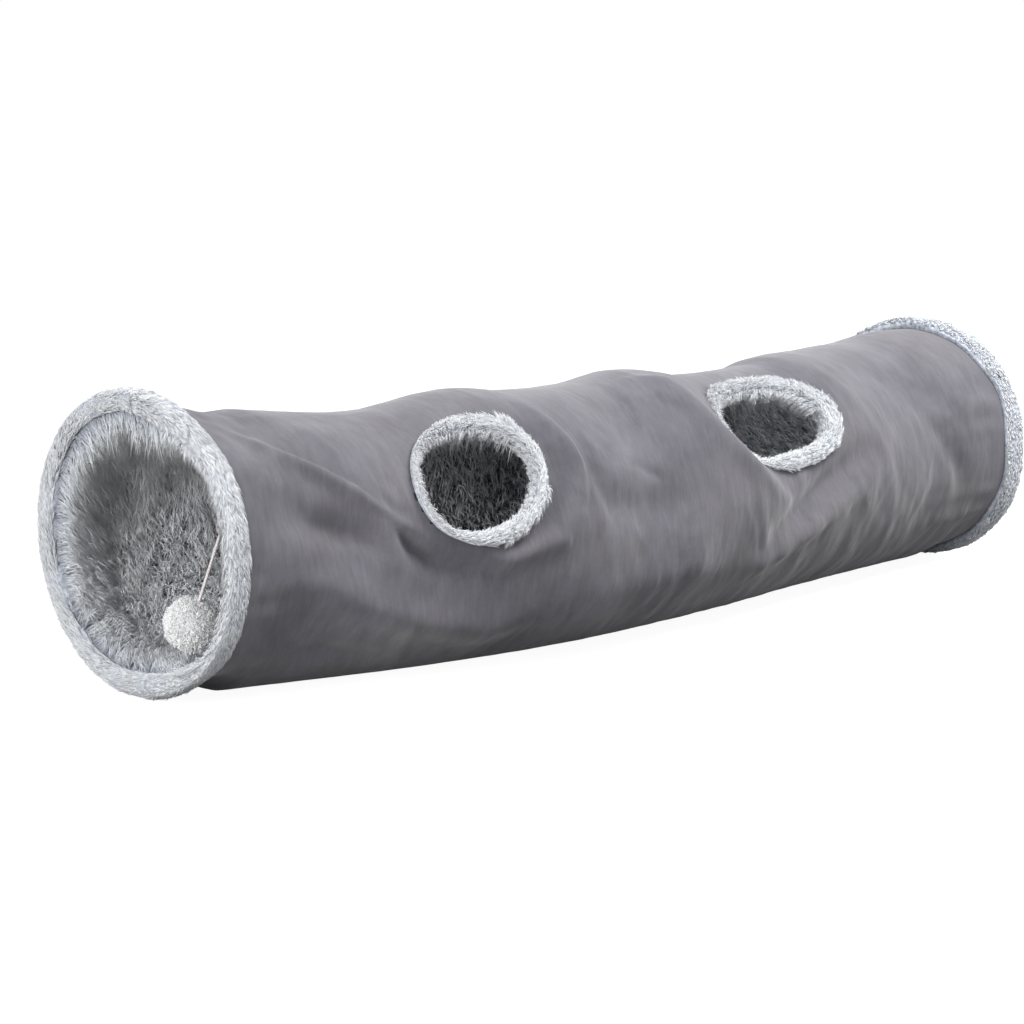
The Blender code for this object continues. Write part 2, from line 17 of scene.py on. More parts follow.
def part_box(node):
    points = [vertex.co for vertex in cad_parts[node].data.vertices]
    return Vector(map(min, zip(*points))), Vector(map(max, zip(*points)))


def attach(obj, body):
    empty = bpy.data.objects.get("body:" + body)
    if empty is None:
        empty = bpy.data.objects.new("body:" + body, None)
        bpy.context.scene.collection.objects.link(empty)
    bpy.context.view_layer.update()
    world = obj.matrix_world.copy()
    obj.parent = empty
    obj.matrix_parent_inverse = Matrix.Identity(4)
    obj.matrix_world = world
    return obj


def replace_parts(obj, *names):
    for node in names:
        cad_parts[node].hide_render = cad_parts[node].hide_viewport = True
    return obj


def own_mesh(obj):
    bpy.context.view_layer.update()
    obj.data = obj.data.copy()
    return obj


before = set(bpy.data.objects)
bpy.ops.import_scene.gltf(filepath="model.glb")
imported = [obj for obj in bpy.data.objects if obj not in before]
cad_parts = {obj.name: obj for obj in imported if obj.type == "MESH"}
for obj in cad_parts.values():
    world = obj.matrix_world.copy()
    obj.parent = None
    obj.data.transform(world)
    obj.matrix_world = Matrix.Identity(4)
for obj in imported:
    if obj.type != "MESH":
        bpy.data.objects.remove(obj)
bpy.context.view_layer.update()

# %% [markdown]
# ## Camera
# The camera comes first, because every later choice of detail depends on what it sees. A long
# lens from the front left, a little above the tunnel, gives the gentle taper from the near
# mouth to the far one. The place and the two angles were fitted to the outlines of the mouths,
# the holes and the cover.

# %% Camera
CAMERA_PLACE = (-2.0363, -2.1143, 0.621)
CAMERA_YAW = math.radians(42.05)        # turned from +Y towards +X
CAMERA_PITCH = math.radians(9.73)       # below the horizon
CAMERA_LENS_MM = 95.3

camera = bpy.data.objects.new("camera", bpy.data.cameras.new("camera"))
bpy.context.scene.collection.objects.link(camera)
camera.location = CAMERA_PLACE
camera.rotation_euler = (math.pi / 2.0 - CAMERA_PITCH, 0.0, -CAMERA_YAW)
camera.data.lens = CAMERA_LENS_MM
camera.data.clip_end = 60.0
bpy.context.scene.camera = camera
print("camera at", CAMERA_PLACE)

# %% [markdown]
# ## The tube's own coordinates
# Everything on the tunnel is drawn round a straight axis and then bent. A place is a distance
# x from the front mouth, an angle from the top towards -Y, and a radius. One function, lay,
# turns such a place into a point of the tunnel as it lies bowed on the floor, with its
# underside pressed flat. Working this way means that a fold, a hole or a hair is written
# once, on a plain tube, and always ends up on the bowed one. The front mouth also spreads a
# little past the coil on the side where the ball hangs, so its binding looks thin there.

# %% Shape of the tube
LENGTH = 1.172
TUBE_RADIUS = 0.1362
LINING_INNER = 0.1291
RIM_BORE = 0.1206
FRONT_RIM_RADIUS = 0.1525
REAR_RIM_RADIUS = 0.1445
FRONT_STRAIGHT = 0.033
REAR_STRAIGHT = 0.048
BOW, BOW_SKEW, BOW_POWER = 0.068, 0.044, 1.5
FRONT_TILT, REAR_TILT, TILT_REACH = math.radians(3.0), math.radians(9.0), 0.47
REST_DEPTH = 0.0015
SETTLE_REACH = 0.220
HANG_REACH = 0.040
HANG_START = math.radians(110.0)
TURN = 2.0 * math.pi
FRONT_MIDDLE = np.array((-0.592252, 0.027713, 0.0))     # front mouth's foot in the frame


def smooth(value):
    """Smooth step of an array, held at 0 and 1 outside that range."""
    value = np.clip(value, 0.0, 1.0)
    return value * value * (3.0 - 2.0 * value)


def wrapped(angle):
    """The same angle, from -pi to pi."""
    return np.mod(angle + math.pi, TURN) - math.pi


def between_rims(x, reach):
    """1 between the mouths, fading to 0 over a reach towards each."""
    return smooth((x - FRONT_STRAIGHT) / reach) * smooth((LENGTH - REAR_STRAIGHT - x) / reach)


def resting_radius(x):
    """Radius that meets the floor at x: a rim's own at a mouth, the cover's between them."""
    front = 1.0 - smooth((x - FRONT_STRAIGHT) / SETTLE_REACH)
    rear = 1.0 - smooth((LENGTH - REAR_STRAIGHT - x) / SETTLE_REACH)
    return (TUBE_RADIUS + front * (FRONT_RIM_RADIUS - TUBE_RADIUS)
            + rear * (REAR_RIM_RADIUS - TUBE_RADIUS))


# Spread of the front mouth at five radii, on the ball's side and at the top
FLARE_RADII = (0.105, RIM_BORE, LINING_INNER, TUBE_RADIUS, FRONT_RIM_RADIUS)
FLARE_NEAR = (0.0250, 0.0215, 0.0158, 0.0138, 0.0)
FLARE_TOP = (0.0050, 0.0050, 0.0025, 0.0, 0.0)
FLARE_START, FLARE_REACH = 0.024, 0.120
# Degrees from the top between which the ball's side lies, and the half width of the top
NEAR_FROM, NEAR_TO, NEAR_FADE = 20.0, 168.0, 40.0
TOP_HALF, TOP_FADE = 80.0, 50.0
# How far the top of the whole tube stands above a round section, at places along it
DROOP_X = (0.018, 0.045, 0.070, 0.140, 0.200, 0.260, 0.310, 0.360, 0.450, 0.600, 0.660, 0.720,
           0.840, 0.900, 1.000, 1.060, 1.110)
DROOP_Z = (0.0, -0.0060, -0.0105, -0.0095, -0.0080, -0.0040, 0.0, 0.0020, 0.0, 0.0020, -0.0020,
           -0.0050, -0.0055, -0.0010, -0.0020, -0.0040, 0.0)


def near_side(degrees):
    """1 on the side of the front mouth where the ball hangs, fading to 0 round it."""
    return smooth((degrees - NEAR_FROM) / NEAR_FADE) * smooth((NEAR_TO - degrees) / NEAR_FADE)


def flare(x, angle, radius):
    """How far the soft mouth spreads past the coil."""
    degrees = np.degrees(wrapped(angle))
    near = near_side(degrees)
    top = smooth((TOP_HALF - np.abs(degrees)) / TOP_FADE) * (1.0 - near)
    spread = near * np.interp(radius, FLARE_RADII, FLARE_NEAR)
    spread = spread + top * np.interp(radius, FLARE_RADII, FLARE_TOP)
    return spread * (1.0 - smooth((x - FLARE_START) / FLARE_REACH))


def lay(x, angle, radius):
    """Points of the bowed tunnel, in the frame, for places on the straight tube."""
    x, angle, radius = np.broadcast_arrays(x, angle, radius)
    radius = radius + flare(x, angle, radius)
    share = np.clip((x - FRONT_STRAIGHT) / (LENGTH - FRONT_STRAIGHT - REAR_STRAIGHT), 0.0, 1.0)
    swell = (4.0 * share * (1.0 - share)) ** BOW_POWER
    bow = -swell * (BOW + BOW_SKEW * (1.0 - 2.0 * share))
    tilt = (FRONT_TILT * smooth(1.0 - (x - FRONT_STRAIGHT) / TILT_REACH)
            + REAR_TILT * smooth(1.0 - (LENGTH - REAR_STRAIGHT - x) / TILT_REACH))
    resting = resting_radius(x)
    height = resting - REST_DEPTH
    down = np.maximum(-np.cos(angle), 1e-6)
    pressed = radius - np.maximum(resting - height / down, 0.0)
    side = -pressed * np.sin(angle)
    upper = np.maximum(np.cos(angle), 0.0) ** 1.5
    droop = np.interp(x, DROOP_X, DROOP_Z) * upper
    points = np.stack([x - side * np.sin(tilt), bow + side * np.cos(tilt),
                       height + droop + pressed * np.cos(angle)], axis=-1)
    return points + FRONT_MIDDLE


foot = lay(0.0, math.pi, FRONT_RIM_RADIUS)

# %% [markdown]
# ## How the cloth drops and folds
# A coil of wire holds the tube up, one turn every 246 mm. Between two turns the cloth sags,
# and the loose length of the cover gathers into a few long folds that run from a mouth or a
# hole towards the next turn. Each fold is a bent line with a height and a width. A little
# noise, stretched along the turns, adds the small wrinkles that no two tunnels share.

# %% Places of the coil and of the side holes
PITCH = 0.246
FIRST_TOP = 0.122
SAG, SAG_REACH = 0.009, 0.090
SAG_AT_HOLE, SAG_FADE = 0.25, 0.070      # share of the sag left at a hole, and where it's whole
HOLE_RADIUS = 0.060
HOLE_RIM_LEG = 0.018
HOLES = {
    "front": (0.289, math.radians(57.5), 0.006),
    "rear": (0.748, math.radians(45.0), 0.022),
}
# How far each opening bulges past a round one, at steps of 30 degrees from its lower side
HOLE_BULGE = {
    "front": (0.0, -0.0005, -0.0025, 0.0015, 0.0080, 0.0040, -0.0010, -0.0020, -0.0005, 0.0050,
              0.0135, 0.0090),
    "rear": (-0.0055, 0.0010, 0.0120, 0.0010, -0.0030, -0.0060, -0.0070, -0.0070, 0.0030,
             0.0080, 0.0125, 0.0060),
}


def turns_away(x, angle):
    """Signed distance along the tube to the nearest turn of the wire."""
    phase = (x - FIRST_TOP) / PITCH - angle / TURN
    return (phase - np.round(phase)) * PITCH


def sag(x, angle):
    """Drop of the cloth between two turns of the wire, strongest along the top."""
    free = np.sin(math.pi * turns_away(x, angle) / PITCH) ** 2
    return -SAG * free * between_rims(x, SAG_REACH) * (0.5 * (1.0 + np.cos(angle)))


def hole_reach(x, angle, hole):
    """Distance from a hole's middle on the cloth, as that of the round cut it stretches."""
    hole_x, hole_angle, stretch = HOLES[hole]
    around = wrapped(angle - hole_angle) * TUBE_RADIUS
    along = (x - hole_x) * HOLE_RADIUS / (HOLE_RADIUS + stretch)
    return np.hypot(along, around) - hole_bulge(hole, np.arctan2(along, around))


def round_table(values, angle):
    """Value at an angle of a table that runs evenly round the circle."""
    places = np.linspace(0.0, TURN, len(values) + 1)
    return np.interp(np.mod(angle, TURN), places, (*values, values[0]))


def hole_bulge(hole, angle):
    """How far an opening bulges past a round one, smoothed between the table's steps."""
    near = [round_table(HOLE_BULGE[hole], angle + shift) for shift in (-0.2, 0.0, 0.2)]
    return sum(near) / len(near)


# %% Folds of the cover
# Each fold: points of (x along the tube, angle above the horizontal on the -Y side in
# degrees), height in metres (below zero for a valley) and half width in metres.
FOLDS = (
    (((0.050, 62), (0.090, 43), (0.130, 32), (0.190, 15), (0.240, 6)), 0.0060, 0.0085),
    (((0.034, 26), (0.106, 12), (0.188, 6), (0.240, -2), (0.310, -12)), -0.0090, 0.019),
    (((0.040, 0), (0.096, -12), (0.162, -22), (0.230, -29), (0.294, -36), (0.370, -33)),
     0.0080, 0.022),
    (((0.150, 30), (0.185, 20), (0.230, 12)), -0.0045, 0.012),
    (((0.190, 38), (0.204, 24), (0.222, 9)), -0.0050, 0.010),
    (((0.225, 6), (0.300, -4), (0.372, 2), (0.392, 20)), 0.0045, 0.014),
    (((0.900, 21), (0.830, 8), (0.760, -6), (0.690, -19)), -0.0064, 0.017),
    (((0.905, 4), (0.800, -12), (0.720, -24), (0.660, -33)), 0.0050, 0.016),
    (((0.410, 24), (0.440, 13), (0.488, 10), (0.560, 9)), -0.0050, 0.022),
    (((0.372, 92), (0.392, 76), (0.395, 55), (0.403, 32), (0.398, 12)), 0.0065, 0.013),
    (((0.485, 31), (0.512, 25), (0.535, 20)), -0.0014, 0.006),
    (((0.400, -32), (0.470, -25), (0.560, -21), (0.620, -25)), 0.0045, 0.028),
    (((0.036, -30), (0.110, -44), (0.210, -52)), -0.0040, 0.014),
    (((0.990, 40), (1.040, 10), (1.090, -20)), -0.0030, 0.016),
)


def along_line(x, around, points):
    """Distance to a bent line, and how far along it the nearest point is, from 0 to 1."""
    best = np.full(np.shape(x), 1e9)
    place = np.zeros(np.shape(x))
    count = len(points) - 1
    for k in range(count):
        (ax, ay), (bx, by) = points[k], points[k + 1]
        share = ((x - ax) * (bx - ax) + (around - ay) * (by - ay))
        share = np.clip(share / ((bx - ax) ** 2 + (by - ay) ** 2), 0.0, 1.0)
        gap = np.hypot(x - ax - share * (bx - ax), around - ay - share * (by - ay))
        nearer = gap < best
        best = np.where(nearer, gap, best)
        place = np.where(nearer, (k + share) / count, place)
    return best, place


def fold_height(x, angle):
    """Height of the long folds over the smooth cloth."""
    around = (math.pi / 2.0 - wrapped(angle)) * TUBE_RADIUS
    height = np.zeros(np.shape(x))
    for points, rise, width in FOLDS:
        line = [(px, math.radians(elevation) * TUBE_RADIUS) for px, elevation in points]
        gap, place = along_line(x, around, line)
        ends = np.sin(math.pi * np.clip(place, 0.02, 0.98)) ** 0.6
        height += rise * ends * np.exp(-(gap / width) ** 2)
    return height


def wrinkle_noise(x, angle, scale_x, scale_round, seed):
    """Noise on the tube, from -1 to 1, with its own scale along and round the tube."""
    x, angle = np.broadcast_arrays(x, angle)
    side = np.sin(angle) * TUBE_RADIUS * scale_round
    top = np.cos(angle) * TUBE_RADIUS * scale_round
    places = np.stack([x * scale_x + seed, side, top], axis=-1).reshape(-1, 3)
    values = np.array([noise.noise(Vector(p)) for p in places])
    return values.reshape(x.shape)


# %% Cloth by the rear hole and along the top
# The turn of wire in front of the rear hole lifts the cover, and the cloth falls behind it, so
# that the ridge hides the near edge of the hole. The line: degrees from the top, and x.
RIDGE_DEGREES = (-20.0, 12.0, 22.0, 34.0, 46.5, 56.0, 66.0, 75.5, 90.0)
RIDGE_X = (0.578, 0.582, 0.600, 0.613, 0.622, 0.637, 0.659, 0.687, 0.720)
RIDGE_LIFT, RIDGE_FRONT, RIDGE_BACK = 0.0095, 0.026, 0.016
RIDGE_FROM, RIDGE_FADE_IN, RIDGE_TO, RIDGE_FADE_OUT = 8.0, 16.0, 84.0, 24.0     # degrees
HOLE_DIP, DIP_START, DIP_FALL, DIP_REACH = 0.0120, 0.001, 0.026, 0.105
# How far the cloth stands off the round tube along its top
TOP_X = (0.050, 0.088, 0.115, 0.200, 0.260, 0.302, 0.326, 0.350, 0.374, 0.404, 0.516, 0.546,
         0.578, 0.612, 0.652, 0.688, 0.724, 0.764, 0.804, 0.832, 0.862, 0.928, 0.984, 1.026,
         1.060)
TOP_RISE = (0.0, -0.0040, 0.0, -0.0005, -0.0020, 0.0010, 0.0040, 0.0050, 0.0035, 0.0002, 0.0003,
            0.0027, 0.0064, 0.0045, 0.0015, -0.0022, -0.0016, -0.0030, -0.0040, -0.0040, 0.0005,
            0.0005, 0.0, -0.0010, 0.0)


def rear_hole_relief(x, angle):
    """The ridge in front of the rear hole and the dip behind it."""
    degrees = np.degrees(wrapped(angle))
    behind = x - np.interp(degrees, RIDGE_DEGREES, RIDGE_X)
    width = np.where(behind < 0.0, RIDGE_FRONT, RIDGE_BACK)
    ridge = RIDGE_LIFT * np.exp(-(behind / width) ** 2)
    ridge = (ridge * smooth((degrees - RIDGE_FROM) / RIDGE_FADE_IN)
             * smooth((RIDGE_TO - degrees) / RIDGE_FADE_OUT))
    hole_x, hole_angle, _ = HOLES["rear"]
    far = np.hypot(x - hole_x, (angle - hole_angle) * TUBE_RADIUS)
    dip = HOLE_DIP * smooth((behind - DIP_START) / DIP_FALL) * np.exp(-(far / DIP_REACH) ** 4)
    return ridge - dip


# %% One drop for cover, lining and wire
FOLD_GAIN = 1.9
RIDGE_HEIGHT, RIDGE_WIDTH = 0.0014, 0.009
PUCKER_COUNT, PUCKER_HEIGHT, PUCKER_REACH = 21, 0.0048, 0.060
PUCKER_START, PUCKER_RISE = 0.012, 0.016
# Reach over which holes, floor and rims hold the cloth still, and the hems inside the rims
HOLE_HOLD, FLOOR_HOLD, RIM_HOLD = 0.022, 0.25, 0.030
FRONT_HEM, REAR_HEM = 0.014, 0.022
# Reach and share by which the wire flattens valleys, and the same for the taut top
WIRE_HOLD, WIRE_TAUT = 0.016, 0.85
TAUT_MIDDLE, TAUT_HALF, TAUT_FADE, TOP_TAUT = -10.0, 62.0, 40.0, 0.85
# Wrinkles: height, scale along and round the tube, seed, share near the wire, more between turns
WRINKLES = (
    (0.0025, 26.0, 9.0, 3.7, 0.3, 1.0),
    (0.0013, 60.0, 26.0, 11.3, 1.0, 0.0),
    (0.0005, 150.0, 60.0, 5.1, 1.0, 0.0),
)
CREASE_HEIGHT, CREASE_SHARPNESS = 0.0013, 5.0
CREASE_SCALES, PATCH_SCALES = (13.0, 8.0, 21.9), (7.0, 6.0, 33.1)


def cloth_shift(x, angle):
    """How far the cloth lies outside the plain tube: sag, folds, wrinkles and puckers."""
    away = turns_away(x, angle)
    free = np.sin(math.pi * away / PITCH) ** 2
    shift = sag(x, angle)
    held = np.ones(np.shape(x))
    for hole in HOLES:
        past = hole_reach(x, angle, hole) - HOLE_RADIUS
        shift *= SAG_AT_HOLE + (1.0 - SAG_AT_HOLE) * smooth(past / SAG_FADE)
        held *= smooth((past - 0.5 * HOLE_RIM_LEG) / HOLE_HOLD)
    off_floor = smooth((1.02 + np.cos(angle)) / FLOOR_HOLD)
    by_rims = smooth((x - FRONT_HEM) / RIM_HOLD) * smooth((LENGTH - REAR_HEM - x) / RIM_HOLD)
    loose = FOLD_GAIN * fold_height(x, angle)
    for height, *scales, held_share, free_share in WRINKLES:
        loose += height * wrinkle_noise(x, angle, *scales) * (held_share + free_share * free)
    crease = 1.0 - CREASE_SHARPNESS * np.abs(wrinkle_noise(x, angle, *CREASE_SCALES))
    patch = smooth(0.5 + 2.0 * wrinkle_noise(x, angle, *PATCH_SCALES))
    loose += CREASE_HEIGHT * np.clip(crease, 0.0, 1.0) ** 2 * patch
    wire_near = np.exp(-(away / WIRE_HOLD) ** 2)
    loose = np.where(loose < 0.0, loose * (1.0 - WIRE_TAUT * wire_near), loose)
    loose += (RIDGE_HEIGHT * np.exp(-(away / RIDGE_WIDTH) ** 2)
              * between_rims(x, SAG_REACH))
    for start, sign, phase in ((0.0, 1.0, 0.0), (LENGTH, -1.0, 1.3)):
        inside = sign * (x - start)
        fade = smooth((inside - PUCKER_START) / PUCKER_RISE)
        fade = fade * np.exp(-np.maximum(inside, 0.0) / PUCKER_REACH)
        wave = np.sin(PUCKER_COUNT * angle + phase + 5.0 * np.sin(3.0 * angle + phase))
        uneven = 0.5 + 0.5 * np.sin(5.0 * angle + 2.0 * phase)
        loose += PUCKER_HEIGHT * wave * uneven * fade
    shift = shift + loose * held * off_floor * by_rims
    degrees = np.degrees(wrapped(angle))
    top = smooth((TAUT_HALF - np.abs(degrees - TAUT_MIDDLE)) / TAUT_FADE)
    shift = shift * (1.0 - TOP_TAUT * top) + top * np.interp(x, TOP_X, TOP_RISE) * by_rims
    return shift + rear_hole_relief(x, angle)


def hang_down(x, angle):
    """How far the loose cover hangs outside the coil, down to the floor, near the mouths."""
    low = smooth((math.cos(HANG_START) - np.cos(angle)) / (1.0 + math.cos(HANG_START)))
    return low * between_rims(x, HANG_REACH) * (resting_radius(x) - TUBE_RADIUS)


# %% [markdown]
# ## Small helpers
# Two helpers do most of the meshing. The first turns a grid of points into a mesh. The
# second makes pile: thousands of thin three-sided hairs, each with a root, a bend and a tip,
# drawn in towards the middle of their tuft. Hair could also be a particle system or a curves
# object, but a mesh of hairs is what an export to other programs keeps.

# %% Vectors
def unit(vectors):
    """Vectors of length 1 along the given ones."""
    return vectors / np.linalg.norm(vectors, axis=-1, keepdims=True)


def square_to(direction, hint=(1.0, 0.0, 0.0)):
    """Two unit directions square to a direction and to each other."""
    across = unit(np.cross(direction, hint))
    return across, np.cross(direction, across)


def rings(line, across, over, radius, sides):
    """Grid of points, a ring round each point of a line."""
    turn = np.linspace(0.0, TURN, sides, endpoint=False)
    return line[:, None] + radius * (np.cos(turn)[None, :, None] * across[:, None]
                                     + np.sin(turn)[None, :, None] * over[:, None])


# %% Meshes from grids
def link(mesh, material, body):
    """Make an object of a mesh, with its name and finish, and let it ride on a body."""
    made = bpy.data.objects.new(mesh.name, mesh)
    bpy.context.scene.collection.objects.link(made)
    mesh.materials.append(material)
    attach(made, body)
    return made


def grid_mesh(name, points, closed_rows=False):
    """Smooth mesh over a grid of points, closed round its columns."""
    rows, columns = points.shape[:2]
    number = np.arange(rows * columns).reshape(rows, columns)
    down = np.roll(number, -1, axis=0)
    corners = np.stack([number, down, np.roll(down, -1, axis=1),
                        np.roll(number, -1, axis=1)], axis=-1)
    corners = corners if closed_rows else corners[:-1]
    faces = corners.reshape(-1, 4)
    mesh = bpy.data.meshes.new(name)
    mesh.from_pydata(points.reshape(-1, 3).tolist(), [], faces.tolist())
    mesh.shade_smooth()
    return mesh


def cleaned(mesh, close=False):
    """Drop the points that no face uses, close open ends if asked, and turn faces outwards."""
    work = bmesh.new()
    work.from_mesh(mesh)
    loose = [vertex for vertex in work.verts if not vertex.link_faces]
    bmesh.ops.delete(work, geom=loose, context="VERTS")
    if close:
        bmesh.ops.holes_fill(work, edges=[edge for edge in work.edges if edge.is_boundary])
    bmesh.ops.recalc_face_normals(work, faces=work.faces)
    work.to_mesh(mesh)
    work.free()
    mesh.shade_smooth()
    return mesh


def capped(name, points):
    """Tube over a grid of points, with closed ends."""
    return cleaned(grid_mesh(name, points), close=True)


def rounded(line, times):
    """Cut the corners of an open line again and again, which rounds it."""
    points = np.array(line, float)
    for _ in range(times):
        behind, ahead = points[:-1], points[1:]
        pairs = np.stack([0.75 * behind + 0.25 * ahead, 0.25 * behind + 0.75 * ahead], axis=1)
        points = np.vstack([points[:1], pairs.reshape(-1, 2), points[-1:]])
    return points


# %% Hairs
HAIR_CORNERS = 3
HAIR_POINTS = 2 * HAIR_CORNERS + 1
HAIR_JOINTS = ((-0.06, 1.0), (0.5, 1.25), (1.0, 0.9))   # share of the length, and how upright
LEAST_RISE = 0.12
TUFT_KINDS, TUFT_ALONG, TUFT_ROUND = 4096, 7919, 104729     # numbers that pick a tuft's kind
FLOOR_LEVEL = 0.0006            # a hair that would reach lower lies on the floor instead


def chain_places(chain, shares):
    """Point and unit direction of a chain of (axial, radial) points at shares of its length."""
    steps = np.diff(chain, axis=0)
    sizes = np.hypot(steps[:, 0], steps[:, 1])
    reach = np.concatenate([[0.0], np.cumsum(sizes)])
    at = shares * reach[-1]
    point = np.stack([np.interp(at, reach, chain[:, k]) for k in (0, 1)], axis=-1)
    piece = np.clip(np.searchsorted(reach, at, side="right") - 1, 0, len(steps) - 1)
    ahead = np.clip(piece + 1, 0, len(steps) - 1)
    part = ((at - reach[piece]) / sizes[piece])[:, None]
    direction = (1.0 - part) * steps[piece] / sizes[piece][:, None]
    direction += part * steps[ahead] / sizes[ahead][:, None]
    return point, unit(direction), at


def pile(name, place, chain, count, length, width, lean, rise, tuft, draw, seed,
         side=1.0, angles=(0.0, TURN), weight=None, stray=0.25, droop=0.0):
    """Mesh of hairs over a chain turned round an axis, bent by place.

    lean is (along the chain, round the axis) and rise is the share that stands up. tuft is
    the size of a tuft, draw how far a tip goes to its tuft's middle, and droop how far it
    sinks, as a share of its length."""
    random = np.random.default_rng(seed)
    shares = random.random(count)
    angle = angles[0] + (angles[1] - angles[0]) * random.random(count)
    if weight is not None:
        kept = random.random(count) < weight(shares, angle)
        shares, angle = shares[kept], angle[kept]
    count = len(shares)
    root, ahead, at = chain_places(chain, shares)
    outward = side * np.stack([ahead[:, 1], -ahead[:, 0]], axis=-1)
    arc = angle * root[:, 1]
    cell = np.stack([np.floor(at / tuft), np.floor(arc / tuft)], axis=-1).astype(int)
    pick = (cell[:, 0] * TUFT_ALONG + cell[:, 1] * TUFT_ROUND + seed) % TUFT_KINDS
    table = random.random((TUFT_KINDS, 4))
    middle = (cell + 0.15 + 0.7 * table[pick, :2]) * tuft
    pull_along = draw * (middle[:, 0] - at)
    pull_round = draw * (middle[:, 1] - arc)
    size = length * (0.72 + 0.36 * table[pick, 2]) * (0.75 + 0.5 * random.random(count))
    jitter = random.normal(0.0, stray, (count, 3))
    go_along = lean[0] + jitter[:, 0] + 0.35 * (table[pick, 3] - 0.5)
    go_round = lean[1] + jitter[:, 1] + 0.5 * (table[pick, 2] - 0.5)
    go_out = np.maximum(rise + 0.6 * jitter[:, 2], LEAST_RISE)
    scale = size / np.sqrt(go_along ** 2 + go_round ** 2 + go_out ** 2)
    joints = []
    for share, upright in HAIR_JOINTS:
        reach_along = share * (scale * go_along + pull_along)
        reach_round = share * (scale * go_round + pull_round)
        reach_out = share * upright * scale * go_out
        axial = root[:, 0] + reach_along * ahead[:, 0] + reach_out * outward[:, 0]
        radial = root[:, 1] + reach_along * ahead[:, 1] + reach_out * outward[:, 1]
        joint = place(axial, angle + reach_round / root[:, 1], radial)
        joint[:, 2] -= droop * size * share * abs(share)
        joints.append(joint)
    across, over = square_to(unit(joints[2] - joints[0]), random.normal(size=(count, 3)))
    thick = 0.5 * width * (0.7 + 0.6 * random.random(count))[:, None]
    verts = np.empty((count, HAIR_POINTS, 3))
    for ring, share in ((0, 1.0), (1, 0.72)):
        for corner in range(HAIR_CORNERS):
            turn = TURN * corner / HAIR_CORNERS
            offset = thick * share * (math.cos(turn) * across + math.sin(turn) * over)
            verts[:, ring * HAIR_CORNERS + corner] = joints[ring] + offset
    verts[:, -1] = joints[2]
    under = FLOOR_LEVEL - verts[..., 2]
    verts[..., 2] = np.where(under > 0.0, FLOOR_LEVEL + 0.1 * under, verts[..., 2])
    return hair_mesh(name, verts, random.random(count))


def hair_mesh(name, verts, tone):
    """Mesh of hairs, with two values on its points: the share along the hair, and a tone."""
    count = len(verts)
    sides = [(0, 1, 4, 3), (1, 2, 5, 4), (2, 0, 3, 5)]
    ends = [(3, 4, 6), (4, 5, 6), (5, 3, 6), (2, 1, 0)]
    loops = np.array([k for face in sides + ends for k in face])
    sizes = np.array([len(face) for face in sides + ends])
    mesh = bpy.data.meshes.new(name)
    mesh.vertices.add(count * HAIR_POINTS)
    mesh.vertices.foreach_set("co", verts.astype(np.float32).ravel())
    mesh.loops.add(count * len(loops))
    index = (np.arange(count)[:, None] * HAIR_POINTS + loops).ravel()
    mesh.loops.foreach_set("vertex_index", index.astype(np.int32))
    mesh.polygons.add(count * len(sizes))
    starts = np.concatenate([[0], np.cumsum(np.tile(sizes, count))[:-1]])
    mesh.polygons.foreach_set("loop_start", starts.astype(np.int32))
    mesh.update(calc_edges=True)
    mesh.shade_smooth()
    along = mesh.attributes.new("along_hair", "FLOAT", "POINT")
    along.data.foreach_set("value", np.tile([0, 0, 0, 0.5, 0.5, 0.5, 1.0], count))
    tones = mesh.attributes.new("hair_tone", "FLOAT", "POINT")
    tones.data.foreach_set("value", np.repeat(tone, HAIR_POINTS))
    mesh.validate()
    print(name, "hairs:", count)
    return mesh


# %% [markdown]
# ## Finishes
# All finishes are node materials on places in the object, so they need no unwrapped map. The
# suede-look cloth has three scales: a soft blotch where the nap was stroked, streaks that run
# round the tube, and a fine grain. Plush is coloured along each hair, from a dark blue-grey
# root to a white tip, which is what makes it look frosted.

# %% Node helpers
EVEN = (1.0, 1.0, 1.0)          # stretch of a noise that is the same in every direction


def grey(value):
    """Grey of one value."""
    return (value, value, value)


def add_node(tree, kind, **values):
    """New shader node, with plain values on its sockets."""
    node = tree.nodes.new("ShaderNode" + kind)
    for socket, value in values.items():
        node.inputs[socket].default_value = value
    return node


def join(tree, *links):
    """Link nodes, each link as (node, its output, node, its input)."""
    for source, output, target, socket in links:
        tree.links.new(source.outputs[output], target.inputs[socket])


def start_material(name, roughness, sheen=0.0, sheen_roughness=0.5, specular=0.3):
    """A material with its plain values on the shader's own sockets, and its node tree."""
    made = bpy.data.materials.new(name)
    made.use_nodes = True
    shader = made.node_tree.nodes["Principled BSDF"]
    shader.inputs["Roughness"].default_value = roughness
    shader.inputs["Sheen Weight"].default_value = sheen
    shader.inputs["Sheen Roughness"].default_value = sheen_roughness
    shader.inputs["Specular IOR Level"].default_value = specular
    return made, made.node_tree


def place_noise(tree, stretch, scale, detail=3.0, roughness=0.55, distortion=0.0):
    """Noise on the object's own coordinates, stretched along its axes."""
    coordinates = add_node(tree, "TexCoord")
    mapping = add_node(tree, "Mapping", Scale=stretch)
    texture = add_node(tree, "TexNoise", Scale=scale, Detail=detail, Roughness=roughness,
                       Distortion=distortion)
    join(tree, (coordinates, "Object", mapping, "Vector"), (mapping, "Vector", texture, "Vector"))
    return texture.outputs["Fac"]


